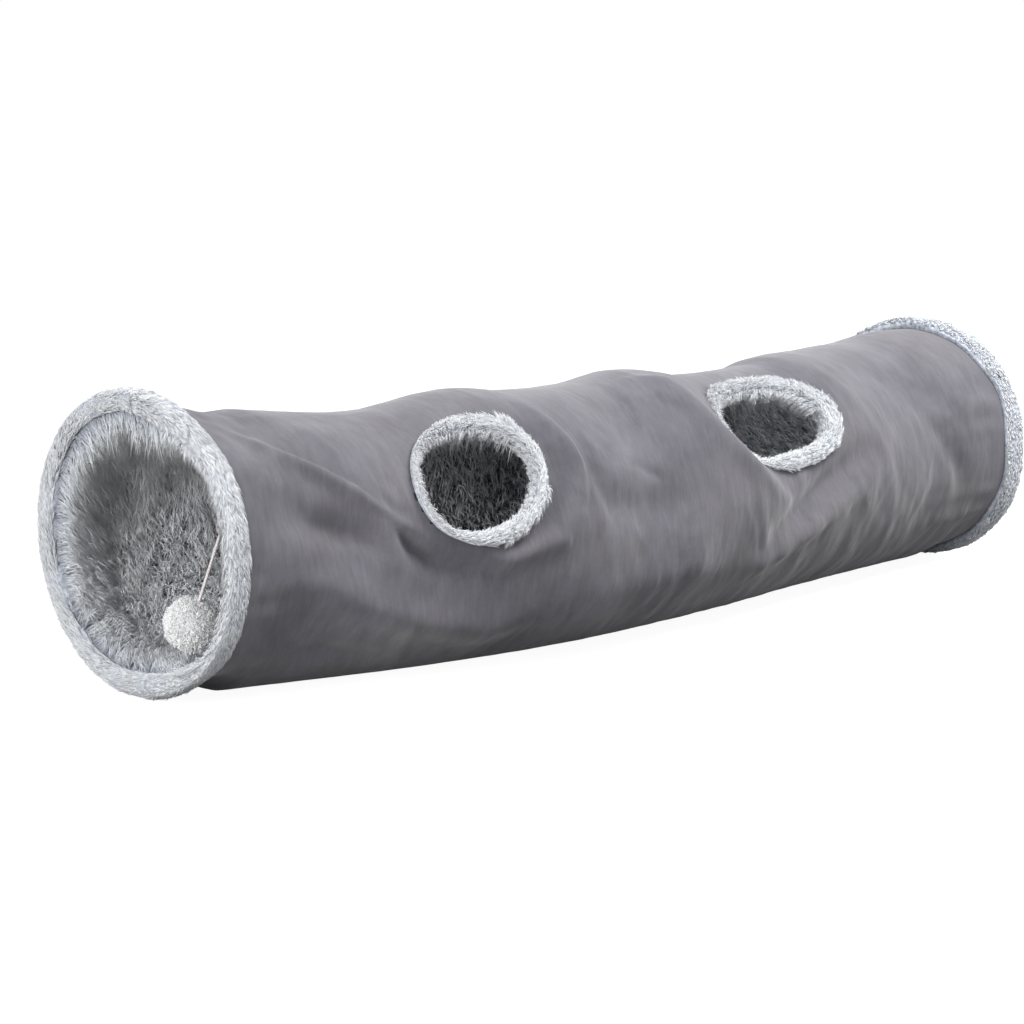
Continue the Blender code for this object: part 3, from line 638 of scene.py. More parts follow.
def blend_colours(tree, factor, low, high, kind="MIX"):
    """Mix of two colours, each a socket or a plain colour."""
    mix = add_node(tree, "Mix")
    mix.data_type = "RGBA"
    mix.blend_type = kind
    mix.inputs["Factor"].default_value = 1.0
    for socket, value in ((mix.inputs[6], low), (mix.inputs[7], high)):
        if isinstance(value, tuple):
            socket.default_value = (*value, 1.0)
        else:
            tree.links.new(value, socket)
    if factor is not None:
        tree.links.new(factor, mix.inputs["Factor"])
    return mix.outputs[2]


def ramp(tree, factor, stops):
    """Colour ramp over (place, colour) stops."""
    made = add_node(tree, "ValToRGB")
    elements = made.color_ramp.elements
    while len(elements) < len(stops):
        elements.new(0.5)
    for element, (place, colour) in zip(elements, stops):
        element.position = place
        element.color = (*colour, 1.0)
    tree.links.new(factor, made.inputs["Fac"])
    return made.outputs["Color"]


def shaded(tree, colour, factor, stops):
    """A colour multiplied by a ramp."""
    return blend_colours(tree, None, colour, ramp(tree, factor, stops), "MULTIPLY")


def coat(made, colour, layers=()):
    """Give a material its colour, and a bump for each (height, depth in metres, strength)."""
    tree = made.node_tree
    shader = tree.nodes["Principled BSDF"]
    tree.links.new(colour, shader.inputs["Base Color"])
    before = None
    for height, depth, strength in layers:
        bump = add_node(tree, "Bump", Distance=depth, Strength=strength)
        tree.links.new(height, bump.inputs["Height"])
        if before:
            tree.links.new(before, bump.inputs["Normal"])
        before = bump.outputs["Normal"]
    if before:
        tree.links.new(before, shader.inputs["Normal"])
    return made


# %% Suede-look cloth
SUEDE_DARK, SUEDE_LIGHT = (0.117, 0.113, 0.130), (0.186, 0.181, 0.205)
SUEDE_WARM = (0.190, 0.181, 0.181)


def suede():
    """Brushed cloth: blotches, streaks round the tube and a fine grain."""
    made, tree = start_material("suede_cloth", 0.92, 0.35, 0.45, 0.15)
    blotch = place_noise(tree, EVEN, 11.0, 4.0, 0.6, 0.4)
    streak = place_noise(tree, (1.0, 0.16, 0.16), 210.0, 4.0, 0.6, 0.6)
    grain = place_noise(tree, (1.0, 0.45, 0.45), 1300.0, 2.0)
    warm = place_noise(tree, EVEN, 6.0, 2.0)
    tone = ramp(tree, blotch, ((0.30, SUEDE_DARK), (0.70, SUEDE_LIGHT)))
    tint = ramp(tree, warm, ((0.45, grey(0.0)), (0.75, grey(0.55))))
    tone = blend_colours(tree, tint, tone, SUEDE_WARM)
    tone = shaded(tree, tone, streak, ((0.28, grey(0.87)), (0.72, grey(1.10))))
    tone = shaded(tree, tone, grain, ((0.25, grey(0.93)), (0.75, grey(1.06))))
    crumple = place_noise(tree, (1.0, 0.45, 0.45), 46.0, 3.0, 0.5, 0.8)
    return coat(made, tone, ((crumple, 0.003, 0.25), (streak, 0.0008, 0.25),
                             (grain, 0.0004, 0.4)))


SUEDE_CLOTH = suede()
print("suede:", len(SUEDE_CLOTH.node_tree.nodes), "nodes")


# %% Plush, under the hairs and along them
def plush_back(name, low, high, scale, gap=0.35):
    """Cloth that carries the pile: mottled, with a short nap; gap sets the painted shade of its
    darkest specks.
    """
    made, tree = start_material(name, 1.0, 0.3, 0.6, 0.1)
    mottle = place_noise(tree, EVEN, scale, 4.0, 0.7)
    nap = place_noise(tree, EVEN, 900.0, 2.0)
    # Painted shade: the darkest specks, below the cloth's own colour, stand for shadow in the
    # gaps of the pile
    painted_gap_shade = tuple(gap * value for value in low)
    tone = ramp(tree, mottle, ((0.30, painted_gap_shade), (0.40, low), (0.65, high)))
    return coat(made, tone, ((mottle, 0.002, 0.6), (nap, 0.0008, 0.6)))


def plush_hair(name, stops, spread, sheen=0.35):
    """Colour along each hair, each one a little lighter or darker than its neighbours."""
    made, tree = start_material(name, 0.75, sheen, 0.6, 0.2)
    along, tone = add_node(tree, "Attribute"), add_node(tree, "Attribute")
    along.attribute_name = "along_hair"
    tone.attribute_name = "hair_tone"
    colour = ramp(tree, along.outputs["Fac"], stops)
    colour = shaded(tree, colour, tone.outputs["Fac"],
                    ((0.0, grey(1.0 - spread)), (0.7, grey(1.0 + 0.4 * spread))))
    patch = place_noise(tree, EVEN, 70.0, 3.0)
    return coat(made, shaded(tree, colour, patch, ((0.3, (0.86, 0.87, 0.89)), (0.6, grey(1.0)))))


FROST_BACK = plush_back("frosted_plush_back", (0.36, 0.40, 0.47), (0.70, 0.73, 0.79), 160.0)
FROST_HAIR = plush_hair("frosted_plush_hair", (
    (0.0, (0.46, 0.50, 0.57)), (0.35, (0.86, 0.88, 0.905)), (0.8, (0.95, 0.955, 0.965))), 0.12)
LINING_BACK = plush_back("lining_plush_back", (0.34, 0.36, 0.41), (0.56, 0.59, 0.64), 120.0)
LINING_HAIR = plush_hair("lining_plush_hair", (
    (0.0, (0.24, 0.26, 0.32)), (0.25, (0.72, 0.75, 0.80)), (0.65, (0.96, 0.97, 0.98))), 0.18)
BALL_BACK = plush_back("ball_plush_back", (0.93, 0.93, 0.92), (0.98, 0.98, 0.97), 240.0, 0.95)
BALL_HAIR = plush_hair("ball_plush_hair", (
    (0.0, (0.97, 0.97, 0.96)), (0.5, (0.99, 0.99, 0.98)), (1.0, (0.99, 0.99, 0.99))), 0.03, 1.0)
print("plush materials ready")


# %% Cord, tape, wire and plastic
def woven(name, low, high, scale):
    """Tape or cord: fine crossing waves with a little unevenness."""
    made, tree = start_material(name, 0.85, 0.15)
    coordinates = add_node(tree, "TexCoord")
    wave = add_node(tree, "TexWave", Scale=scale, Distortion=1.5, Detail=2.0)
    wave.wave_type = "BANDS"
    wave.bands_direction = "DIAGONAL"
    join(tree, (coordinates, "Object", wave, "Vector"))
    tone = ramp(tree, wave.outputs["Fac"], ((0.2, low), (0.8, high)))
    return coat(made, tone, ((wave.outputs["Fac"], 0.0005, 0.6),))


def speckled(name, roughness, scale, low, high, metallic=0.0, grain_depth=0.0):
    """Wire or plastic: fine marks of colour, with or without a grain to the touch."""
    made, tree = start_material(name, roughness)
    tree.nodes["Principled BSDF"].inputs["Metallic"].default_value = metallic
    marks = place_noise(tree, EVEN, scale, 2.0)
    tone = ramp(tree, marks, ((0.3, low), (0.7, high)))
    return coat(made, tone, ((marks, grain_depth, 0.5),) if grain_depth else ())


CORD_COTTON = woven("cord_cotton", (0.66, 0.60, 0.60), (0.90, 0.85, 0.84), 420.0)
CASING_TAPE = woven("casing_tape", (0.16, 0.16, 0.17), (0.30, 0.30, 0.32), 700.0)
SPRING_STEEL = speckled("spring_steel", 0.35, 700.0, (0.42, 0.42, 0.43), (0.60, 0.60, 0.61),
                        metallic=1.0)
TIP_PLASTIC = speckled("tip_plastic", 0.45, 1500.0, (0.04, 0.04, 0.045), (0.07, 0.07, 0.075),
                       grain_depth=0.0001)

# %% [markdown]
# ## The cord and its knot
# The ball hangs on a thin twisted cord, knotted at a tape tab inside the front mouth and again
# inside the ball. It is straight, because the ball pulls on it. It could be a bevelled curve,
# but a twisted cord shows its strands, so this is a tube whose section has three lobes that
# turn as they go along.

# %% Cord
CORD_DIAMETER = 0.0032
CORD_LAY = 0.009             # length over which a strand goes once round
CORD_LOBES, LOBE_DEPTH = 3, 0.12
CORD_ROWS, CORD_SIDES = 140, 18
KNOT_RADIUS, KNOT_GAP = 0.0042, 0.0005
CORD_PAST = 0.0030           # how far the cord runs past the ball's middle

knot_low, knot_high = (np.array(corner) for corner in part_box("cord_knot"))
ball_low, ball_high = (np.array(corner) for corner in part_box("pompom"))
KNOT_MIDDLE = 0.5 * (knot_low + knot_high)
BALL_MIDDLE = 0.5 * (ball_low + ball_high)
down_cord = BALL_MIDDLE - KNOT_MIDDLE
CORD_REACH = float(np.linalg.norm(down_cord))
down_cord /= CORD_REACH
CORD_START = KNOT_MIDDLE + down_cord * (KNOT_RADIUS + KNOT_GAP)
CORD_LENGTH = CORD_REACH + CORD_PAST - KNOT_RADIUS - KNOT_GAP


def twisted_tube(name, start, direction, length, diameter):
    """Straight three-strand cord that starts at a point."""
    across, over = square_to(direction)
    along = np.linspace(0.0, length, CORD_ROWS)[:, None]
    turn = np.linspace(0.0, TURN, CORD_SIDES, endpoint=False)
    lobe = np.abs(np.cos(0.5 * CORD_LOBES * (turn - TURN * along / CORD_LAY)))
    radius = 0.5 * diameter * (1.0 - LOBE_DEPTH + LOBE_DEPTH * lobe)
    return capped(name, rings(start + along * direction, across[None], over[None],
                              radius[..., None], CORD_SIDES))


cord = link(twisted_tube("toy_string", CORD_START, down_cord, CORD_LENGTH, CORD_DIAMETER),
            CORD_COTTON, "toy")
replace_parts(cord, "toy_cord")
print("cord length", round(CORD_LENGTH, 4))

# %% Knot at the tab
KNOT_STRAND = 0.0014
KNOT_STEPS, KNOT_SIDES = 90, 10


def overhand_knot(name, middle, size, strand):
    """Trefoil of one strand, drawn tight, as a closed tube."""
    step = np.linspace(0.0, TURN, KNOT_STEPS, endpoint=False)
    line = np.stack([np.sin(step) + 2.0 * np.sin(2.0 * step),
                     np.cos(step) - 2.0 * np.cos(2.0 * step),
                     -np.sin(3.0 * step)], axis=-1) / 3.0
    line = middle + line * (size - strand)
    ahead = unit(np.roll(line, -1, axis=0) - np.roll(line, 1, axis=0))
    across, over = square_to(ahead, line - middle)
    return grid_mesh(name, rings(line, across, over, strand, KNOT_SIDES), closed_rows=True)


knot = link(overhand_knot("toy_knot", KNOT_MIDDLE, KNOT_RADIUS, KNOT_STRAND),
            CORD_COTTON, "knot")
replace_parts(knot, "cord_knot")
for node, finish in (("stop_knot", CORD_COTTON), ("wire_tip_front", TIP_PLASTIC),
                     ("wire_tip_rear", TIP_PLASTIC)):
    bpy.data.objects[node].data.materials.clear()
    bpy.data.objects[node].data.materials.append(finish)
print("knot and small nodes finished")

# %% Tab that holds the knot
TAB_ROOT = (0.020, math.radians(77.0), 0.1275)      # inside the front binding
TAB_WIDTH, TAB_WALL, TAB_GAP = 0.0075, 0.0010, 0.0022
TAB_STEPS = 8


def folded_tab(name, root, tip):
    """Tape that runs from its root to the tip, turns round there and comes back."""
    reach = float(np.linalg.norm(tip - root))
    ahead = unit(tip - root)
    across = unit(np.cross(ahead, down_cord))
    side = np.cross(across, ahead)
    bend = np.linspace(0.5 * math.pi, -0.5 * math.pi, TAB_STEPS)
    along = np.linspace(0.0, reach, TAB_STEPS)[:-1]
    half = 0.5 * TAB_GAP
    path = np.array([(a, half) for a in along]
                    + [(reach + half * math.cos(b), half * math.sin(b)) for b in bend]
                    + [(a, -half) for a in along[::-1]])
    edge = 0.5 * TAB_WIDTH * across
    rows = []
    for (a, s), (da, ds) in zip(path, unit(np.gradient(path, axis=0))):
        middle = root + a * ahead + s * side
        normal = 0.5 * TAB_WALL * (ds * ahead - da * side)
        rows.append([middle + edge + normal, middle - edge + normal, middle - edge - normal,
                     middle + edge - normal])
    return capped(name, np.array(rows))


tab_root = lay(*TAB_ROOT)
tab = link(folded_tab("knot_tab", tab_root, KNOT_MIDDLE), CORD_COTTON, "front")
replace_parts(tab, "cord_anchor_tab")
print("tab length", round(float(np.linalg.norm(KNOT_MIDDLE - tab_root)), 4))

# %% [markdown]
# ## The soft ball
# The ball is a tuft of short curly yarn, clipped round. Under the hairs is a matted core, a
# sphere pushed in and out by noise, so that the gaps between tufts look filled.

# %% Ball
BALL_RADIUS = 0.0265
BALL_PILE = 0.0028
BALL_LUMPS = 0.035              # height of a lump of the core, as a share of its radius


def lumpy_ball(name, middle, radius):
    """Matted core of the ball."""
    work = bmesh.new()
    bmesh.ops.create_icosphere(work, subdivisions=5, radius=1.0)
    for vertex in work.verts:
        way = vertex.co.normalized()
        lump = 0.6 * noise.noise(way * 3.0) + 0.5 * noise.noise(way * 9.0)
        vertex.co = way * (radius * (1.0 + BALL_LUMPS * lump)) + Vector(middle)
    mesh = bpy.data.meshes.new(name)
    work.to_mesh(mesh)
    work.free()
    mesh.shade_smooth()
    return mesh


def ball_place(axial, angle, radial):
    """Points round the ball, for a profile turned about the cord's line."""
    across, over = square_to(down_cord)
    ring = np.cos(angle)[..., None] * across + np.sin(angle)[..., None] * over
    return BALL_MIDDLE + axial[..., None] * down_cord + radial[..., None] * ring


CORE_RADIUS = BALL_RADIUS - BALL_PILE
POLE_GAP, MERIDIAN_STEPS = 0.03, 40
ball = link(lumpy_ball("toy_ball", BALL_MIDDLE, CORE_RADIUS), BALL_BACK, "toy")
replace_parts(ball, "pompom")
bend = np.linspace(POLE_GAP, math.pi - POLE_GAP, MERIDIAN_STEPS)
meridian = np.stack([-np.cos(bend) * CORE_RADIUS, np.sin(bend) * CORE_RADIUS], axis=-1)


def ball_even(shares, angle):
    """Keep hairs in step with the ball's girth, so that its poles aren't crowded."""
    return np.sin(math.pi * shares)


link(pile("toy_ball_pile", ball_place, meridian, count=16000, length=0.0058, width=0.0014,
          lean=(0.0, 0.0), rise=0.32, tuft=0.0060, draw=0.35, seed=21, side=-1.0,
          weight=ball_even, stray=0.70),
     BALL_HAIR, "toy")

# %% [markdown]
# ## Coil and casing
# One steel wire runs from mouth to mouth, with a flat turn inside each binding, and a tape is
# sewn over it on the inside. Both are hidden by cloth, but they close up with the tunnel when
# it is pressed together. They are modelled again here as meshes of their own.


def collapse(piece):
    """Give a piece that spans the tunnel a mesh of its own."""
    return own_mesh(piece)


# %% Wire and tape
WIRE_DIAMETER = 0.0022
WIRE_RADIUS, END_COIL_DROP = 0.1334, 0.0008
TAPE_RADIUS, TAPE_WALL, TAPE_WIDTH = 0.1318, 0.0010, 0.014
END_COIL_INSET, COIL_EASE, END_TURN_SHARE = 0.012, 0.020, 0.93
WIRE_STEPS, WIRE_SIDES = 48, 8


def soft_limit(x, low, high, ease):
    """Hold x between two limits, bending into each over a length."""
    for limit, sign in ((low, 1.0), (high, -1.0)):
        past = sign * (x - limit)
        bent = np.clip(past + ease, 0.0, None) ** 2 / (4.0 * ease)
        past = np.where(past < -ease, 0.0, np.where(past < ease, bent, past))
        x = limit + sign * past
    return x


def coil_line():
    """x and angle of the wire, from the front end turn to the rear one."""
    low, high = END_COIL_INSET, LENGTH - END_COIL_INSET
    first = (low - FIRST_TOP) / PITCH - END_TURN_SHARE
    last = (high - FIRST_TOP) / PITCH + END_TURN_SHARE
    turns = np.arange(round(first * WIRE_STEPS), round(last * WIRE_STEPS) + 1) / WIRE_STEPS
    return soft_limit(FIRST_TOP + PITCH * turns, low, high, COIL_EASE), turns * TURN


def tube_mesh(name, line, diameter, sides):
    """Closed round bar along a line of points."""
    across, over = square_to(unit(np.gradient(line, axis=0)))
    return capped(name, rings(line, across, over, 0.5 * diameter, sides))


# By the rear hole the wire lies under the ridge that it lifts, in front of a plain coil
WIRE_BENT_AT, WIRE_BEND, WIRE_BEND_REACH = 0.640, 0.019, 0.030

wire_x, wire_angle = coil_line()
wire_x = wire_x - WIRE_BEND * np.exp(-((wire_x - WIRE_BENT_AT) / WIRE_BEND_REACH) ** 2)
from_ends = np.minimum(wire_x, LENGTH - wire_x) - END_COIL_INSET
wire_radius = WIRE_RADIUS - END_COIL_DROP * (1.0 - smooth(from_ends / COIL_EASE))
wire_radius = wire_radius + cloth_shift(wire_x, wire_angle)
wire_line = lay(wire_x, wire_angle, wire_radius)
wire = link(tube_mesh("coil_wire", wire_line, WIRE_DIAMETER, WIRE_SIDES),
            SPRING_STEEL, "front")
collapse(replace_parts(wire, "spring_wire"))

tape_on = (wire_x > FRONT_STRAIGHT + TAPE_WIDTH) & (wire_x < LENGTH - REAR_STRAIGHT - TAPE_WIDTH)
tape_x, tape_angle = wire_x[tape_on], wire_angle[tape_on]
tape_edges = [(-0.5 * TAPE_WIDTH, 0.0), (0.5 * TAPE_WIDTH, 0.0),
              (0.5 * TAPE_WIDTH, -TAPE_WALL), (-0.5 * TAPE_WIDTH, -TAPE_WALL)]
tape_points = np.stack([lay(tape_x + dx, tape_angle,
                            TAPE_RADIUS + dr + cloth_shift(tape_x + dx, tape_angle))
                        for dx, dr in tape_edges], axis=1)
tape = link(capped("coil_casing", tape_points), CASING_TAPE, "front")
collapse(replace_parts(tape, "casing_tape"))
print("wire turns", round(float(wire_angle[-1] - wire_angle[0]) / TURN, 2))

# %% [markdown]
# ## Cover and lining
# Each is one sheet of cloth wound into a tube, with two holes. The sheet is a grid whose
# columns are close together on the side that people look at and wider apart underneath. The
# holes are cut by leaving cells out, and the ragged edge is hidden under the binding, as on
# the real tunnel. A wall is added by copying the sheet inwards and joining the edges.

# %% Sheets
COVER_WALL, LINING_WALL = 0.0012, 0.0012
SHARP_ANGLE = math.radians(60.0)
COVER_START, COVER_END = 0.005, LENGTH - 0.010
CUT_MARGIN = 0.0024
FINE_FROM, FINE_TO = math.radians(-25.0), math.radians(150.0)


def sheet_columns(fine, coarse):
    """Angles of a sheet's columns, close together on the side that people look at."""
    near = np.linspace(FINE_FROM, FINE_TO, fine, endpoint=False)
    far = np.linspace(FINE_TO, FINE_FROM + TURN, coarse, endpoint=False)
    return np.concatenate([near, far])


def cloth_tube(name, start, end, rows, columns, inset, wall, hangs):
    """Sheet wound into a tube, with its wall and its two holes."""
    x = np.linspace(start, end, rows)
    grid_x, grid_angle = np.meshgrid(x, columns, indexing="ij")
    radius = TUBE_RADIUS - inset + cloth_shift(grid_x, grid_angle)
    if hangs:
        radius = radius + hang_down(grid_x, grid_angle)
    outer = lay(grid_x, grid_angle, radius)
    inner = lay(grid_x, grid_angle, radius - wall)
    middle_x = 0.5 * (x[:-1] + x[1:])
    middle_angle = columns + 0.5 * np.mod(np.roll(columns, -1) - columns, TURN)
    cell_x, cell_angle = np.meshgrid(middle_x, middle_angle, indexing="ij")
    keep = np.ones(cell_x.shape, bool)
    for hole in HOLES:
        keep &= hole_reach(cell_x, cell_angle, hole) > HOLE_RADIUS + CUT_MARGIN
    return walled_mesh(name, outer, inner, keep)


def walled_mesh(name, outer, inner, keep):
    """Two copies of a grid with some cells left out, joined along every free edge."""
    rows, columns = outer.shape[:2]
    number = np.arange(rows * columns).reshape(rows, columns)
    right = np.roll(number, -1, axis=1)
    cells = np.stack([number[:-1], number[1:], right[1:], right[:-1]], axis=-1)[keep]
    edges = np.concatenate([cells[:, [k, (k + 1) % 4]] for k in range(4)])
    tagged = edges[:, 0] * (rows * columns) + edges[:, 1]
    back = edges[:, 1] * (rows * columns) + edges[:, 0]
    free = edges[~np.isin(back, tagged)]
    under = rows * columns
    walls = np.stack([free[:, 1], free[:, 0], free[:, 0] + under, free[:, 1] + under], axis=-1)
    faces = np.concatenate([cells, cells[:, ::-1] + under, walls])
    mesh = bpy.data.meshes.new(name)
    points = np.concatenate([outer.reshape(-1, 3), inner.reshape(-1, 3)])
    mesh.from_pydata(points.tolist(), [], faces.tolist())
    cleaned(mesh)
    mesh.set_sharp_from_angle(angle=SHARP_ANGLE)
    return mesh


def cut_area(start, end):
    """Flat area of a sheet less its two holes."""
    area = TURN * TUBE_RADIUS * (end - start)
    for hole_x, hole_angle, stretch in HOLES.values():
        area -= math.pi * HOLE_RADIUS * (HOLE_RADIUS + stretch)
    return area


cover = link(cloth_tube("cover_cloth", COVER_START, COVER_END, 360, sheet_columns(100, 36),
                        inset=0.0, wall=COVER_WALL, hangs=True),
             SUEDE_CLOTH, "front")
cut_area(COVER_START, COVER_END)
collapse(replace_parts(cover, "outer_cover"))
print("cover faces:", len(cover.data.polygons))

# %% Lining
LINING_OUTER = 0.1303
LINING_INSET = TUBE_RADIUS - LINING_OUTER
LINING_START, LINING_END = 0.005, LENGTH - 0.020
lining = link(cloth_tube("lining_cloth", LINING_START, LINING_END, 200, sheet_columns(60, 40),
                         inset=LINING_INSET, wall=LINING_WALL, hangs=False),
              LINING_BACK, "front")
cut_area(LINING_START, LINING_END)
collapse(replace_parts(lining, "plush_lining"))
print("lining faces:", len(lining.data.polygons))

# %% [markdown]
# ## Bindings
# A binding is a strip of short plush folded over the raw edge, so its section is a U with a
# fat, soft turn. The two mouths and the two holes use the same section in other sizes. The
# section is drawn by a few points, rounded, and carried round the edge with slow lumps, since
# stuffed plush is never even.

# %% Binding of an edge
PILE_DEPTH = 0.0035
MOUTH_POINTS, HOLE_POINTS = 200, 110
MOUTH_LUMP, HOLE_LUMP = 0.0032, 0.0014
LUMPS_ROUND, LUMPS_ALONG = 5.0, 40.0        # scale of the lumps round a binding and across it


def binding_chain(slot_out, slot_in, crest, bore, outer_leg, inner_leg, nose, hem):
    """Points of the seen side of a mouth's binding, from its outer hem to its inner one."""
    crest, bore, nose = crest - PILE_DEPTH, bore + PILE_DEPTH, nose - 0.5 * PILE_DEPTH
    return [
        (outer_leg, slot_out + hem),
        (0.75 * outer_leg, 0.4 * slot_out + 0.6 * crest + 0.5 * hem),
        (0.45 * outer_leg, crest),
        (0.0, crest),
        (-0.8 * nose, crest - 0.35 * nose),
        (-nose, 0.5 * (crest + bore)),
        (-0.8 * nose, bore + 0.35 * nose),
        (0.0, bore),
        (0.75 * inner_leg, bore),
        (inner_leg, slot_in - hem),
    ]


def swept(name, place, chain, slot, count, lump, seed):
    """Closed ring of a binding: its seen side, and the slot that the cloth runs in."""
    seen = rounded(chain, 3)
    outline = np.vstack([seen, slot])
    angle = np.linspace(0.0, TURN, count, endpoint=False)
    grid_angle, step = np.meshgrid(angle, np.arange(len(outline)), indexing="ij")
    axial, radial = outline[step, 0], outline[step, 1]
    centre = outline[:len(seen)].mean(axis=0)
    swell = np.array([[noise.noise(Vector((LUMPS_ROUND * math.cos(a) + seed,
                                           LUMPS_ROUND * math.sin(a), LUMPS_ALONG * u)))
                       for u, _ in outline] for a in angle])
    swell = lump * swell * (step < len(seen)) * np.sin(math.pi * np.clip(
        step / (len(seen) - 1.0), 0.0, 1.0)) ** 0.4
    away = np.stack([axial - centre[0], radial - centre[1]], axis=-1)
    away /= np.maximum(np.linalg.norm(away, axis=-1), 1e-9)[..., None]
    points = place(axial + swell * away[..., 0], grid_angle, radial + swell * away[..., 1])
    return cleaned(grid_mesh(name, points, closed_rows=True)), seen


NOSE_SQUEEZE = 0.62             # share of the nose that is pulled flat on the ball's side


def mouth_place(axial, angle, radial):
    """Place in the front mouth's binding, where axial runs inwards from the mouth's plane."""
    squeeze = 1.0 - NOSE_SQUEEZE * near_side(np.degrees(wrapped(angle)))
    return lay(np.where(axial < 0.0, axial * squeeze, axial), angle, radial)


# How far the rear binding spreads past a round one, at steps of 30 degrees from the top to -Y
REAR_SPREAD = (0.0085, 0.0070, 0.0030, 0.0010, 0.0060, 0.0060, 0.0, 0.0, 0.0, 0.0030, 0.0070,
               0.0085)


def rear_mouth_place(axial, angle, radial):
    """The same at the rear mouth, where inwards is the other way and the hem is wavy."""
    wave = 1.0 + 0.10 * np.sin(5.0 * angle) + 0.07 * np.sin(9.0 * angle + 1.0)
    spread = round_table(REAR_SPREAD, angle)
    spread = spread * np.interp(radial, (SLOT_OUT, REAR_RIM_RADIUS - PILE_DEPTH), (0.0, 1.0))
    return lay(LENGTH - np.where(axial > 0.0, axial * wave, axial), angle, radial + spread)


SLOT_GAP, HEM = 0.0005, 0.0025
SLOT_OUT, SLOT_IN = TUBE_RADIUS + SLOT_GAP, LINING_INNER - SLOT_GAP


def mouth_binding(name, node, body, place, crest, outer_leg, inner_leg, nose, seed):
    """Binding of one mouth, without its pile."""
    chain = binding_chain(SLOT_OUT, SLOT_IN, crest, RIM_BORE, outer_leg, inner_leg, nose, HEM)
    slot = [(inner_leg, SLOT_IN), (0.0, SLOT_IN), (0.0, SLOT_OUT), (outer_leg, SLOT_OUT)]
    mesh, seen = swept(name, place, chain, slot, MOUTH_POINTS, MOUTH_LUMP, seed)
    made = link(mesh, FROST_BACK, body)
    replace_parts(made, node)
    return made, seen


front_binding, front_chain = mouth_binding("front_binding", "front_rim", "front", mouth_place,
                                           FRONT_RIM_RADIUS, outer_leg=0.018,
                                           inner_leg=0.030, nose=0.010, seed=3.0)
rear_binding, rear_chain = mouth_binding("rear_binding", "rear_rim", "rear", rear_mouth_place,
                                         REAR_RIM_RADIUS, outer_leg=0.022,
                                         inner_leg=0.040, nose=0.009, seed=8.0)
print("mouth bindings:", len(front_binding.data.polygons), len(rear_binding.data.polygons))

# %% Bindings of the side holes
HOLE_PROUD, HOLE_NOSE, HOLE_HEM, HOLE_FIT = 0.0100, 0.0040, 0.0025, 0.0011
HOLE_INNER_WALL = 0.004
# Share of its full width that a binding has, at steps of 30 degrees from its lower side
HOLE_WIDTHS = {
    "front": (0.60, 0.38, 0.45, 0.34, 0.50, 0.90, 0.70, 0.34, 0.24, 0.20, 0.20, 0.24),
    "rear": (1.00, 0.95, 1.05, 1.15, 1.00, 1.10, 1.15, 1.15, 0.95, 0.50, 0.32, 0.40),
}
# How far a binding is tucked under the cover's own edge, at the same steps
HOLE_TUCK = {
    "front": (0.0,) * 12,
    "rear": (0.0, 0.0, 0.0, 0.0, 0.0, 0.0, 0.0, 0.0015, 0.0050, 0.0085, 0.0095, 0.0060),
}


def cloth_drop(x, angle):
    """Drop of the cloth that a hole's binding follows."""
    return rear_hole_relief(x, angle) + SAG_AT_HOLE * sag(x, angle)


def hole_place(hole):
    """Place round a hole: height over the cloth, angle round the hole, distance from it."""
    hole_x, hole_angle, stretch = HOLES[hole]

    def place(axial, angle, radial):
        axial, angle, radial = np.broadcast_arrays(axial, angle, radial)
        share = round_table(HOLE_WIDTHS[hole], angle)
        radial = np.where(radial > HOLE_RADIUS, HOLE_RADIUS + share * (radial - HOLE_RADIUS),
                          radial) + hole_bulge(hole, angle)
        x = hole_x + (radial + stretch) * np.sin(angle)
        around = hole_angle + radial * np.cos(angle) / TUBE_RADIUS
        height = axial - round_table(HOLE_TUCK[hole], angle)
        return lay(x, around, TUBE_RADIUS + height + cloth_drop(x, around))

    return place


def hole_binding(hole, seed):
    """Binding of one side hole, without its pile."""
    above, below = HOLE_FIT, LINING_INNER - TUBE_RADIUS - HOLE_FIT
    floor, end = HOLE_RADIUS - SLOT_GAP, HOLE_RADIUS + HOLE_RIM_LEG
    proud, bottom = HOLE_PROUD - PILE_DEPTH, below - HOLE_INNER_WALL + PILE_DEPTH
    nose = HOLE_NOSE - 0.5 * PILE_DEPTH
    chain = [
        (above + HOLE_HEM, end),
        (0.75 * proud, end - 0.2 * HOLE_RIM_LEG),
        (proud, end - 0.45 * HOLE_RIM_LEG),
        (proud, floor),
        (0.6 * proud, floor - 0.8 * nose),
        (0.5 * below, floor - nose),
        (0.7 * bottom, floor - 0.8 * nose),
        (bottom, floor),
        (bottom, end - 0.45 * HOLE_RIM_LEG),
        (below - HOLE_HEM, end),
    ]
    slot = [(below, end), (below, floor), (above, floor), (above, end)]
    name = "hole_binding_" + hole
    mesh, seen = swept(name, hole_place(hole), chain, slot, HOLE_POINTS, HOLE_LUMP, seed)
    made = link(mesh, FROST_BACK, "front")
    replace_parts(made, "hole_rim_" + hole)
    return made, seen


hole_chains = {}
for seed, hole in enumerate(HOLES):
    made, hole_chains[hole] = hole_binding(hole, 12.0 + 5.0 * seed)
    collapse(made)
print("hole bindings ready")

# %% [markdown]
# ## Pile
# The pile is what people see first. On the bindings it is short and combed round the edge. In
# the mouth it is long, stands in tufts and shows its white tips, and further in it hangs down
# the walls. Each stretch is a mesh of its own, so that none is too heavy to handle.

# %% Pile on the bindings
HAIRS = 19800                   # the most that one mesh gets
FAR_SIDE = (math.radians(146.0), math.radians(392.0))
NEAR_SIDE = (math.radians(28.0), math.radians(150.0))


def clear_of_ball(shares, angle):
    """Fewer long hairs where the ball hangs against the binding."""
    away = np.abs(np.degrees(angle) - 110.0)
    return 0.15 + 0.85 * smooth((away - 14.0) / 8.0)


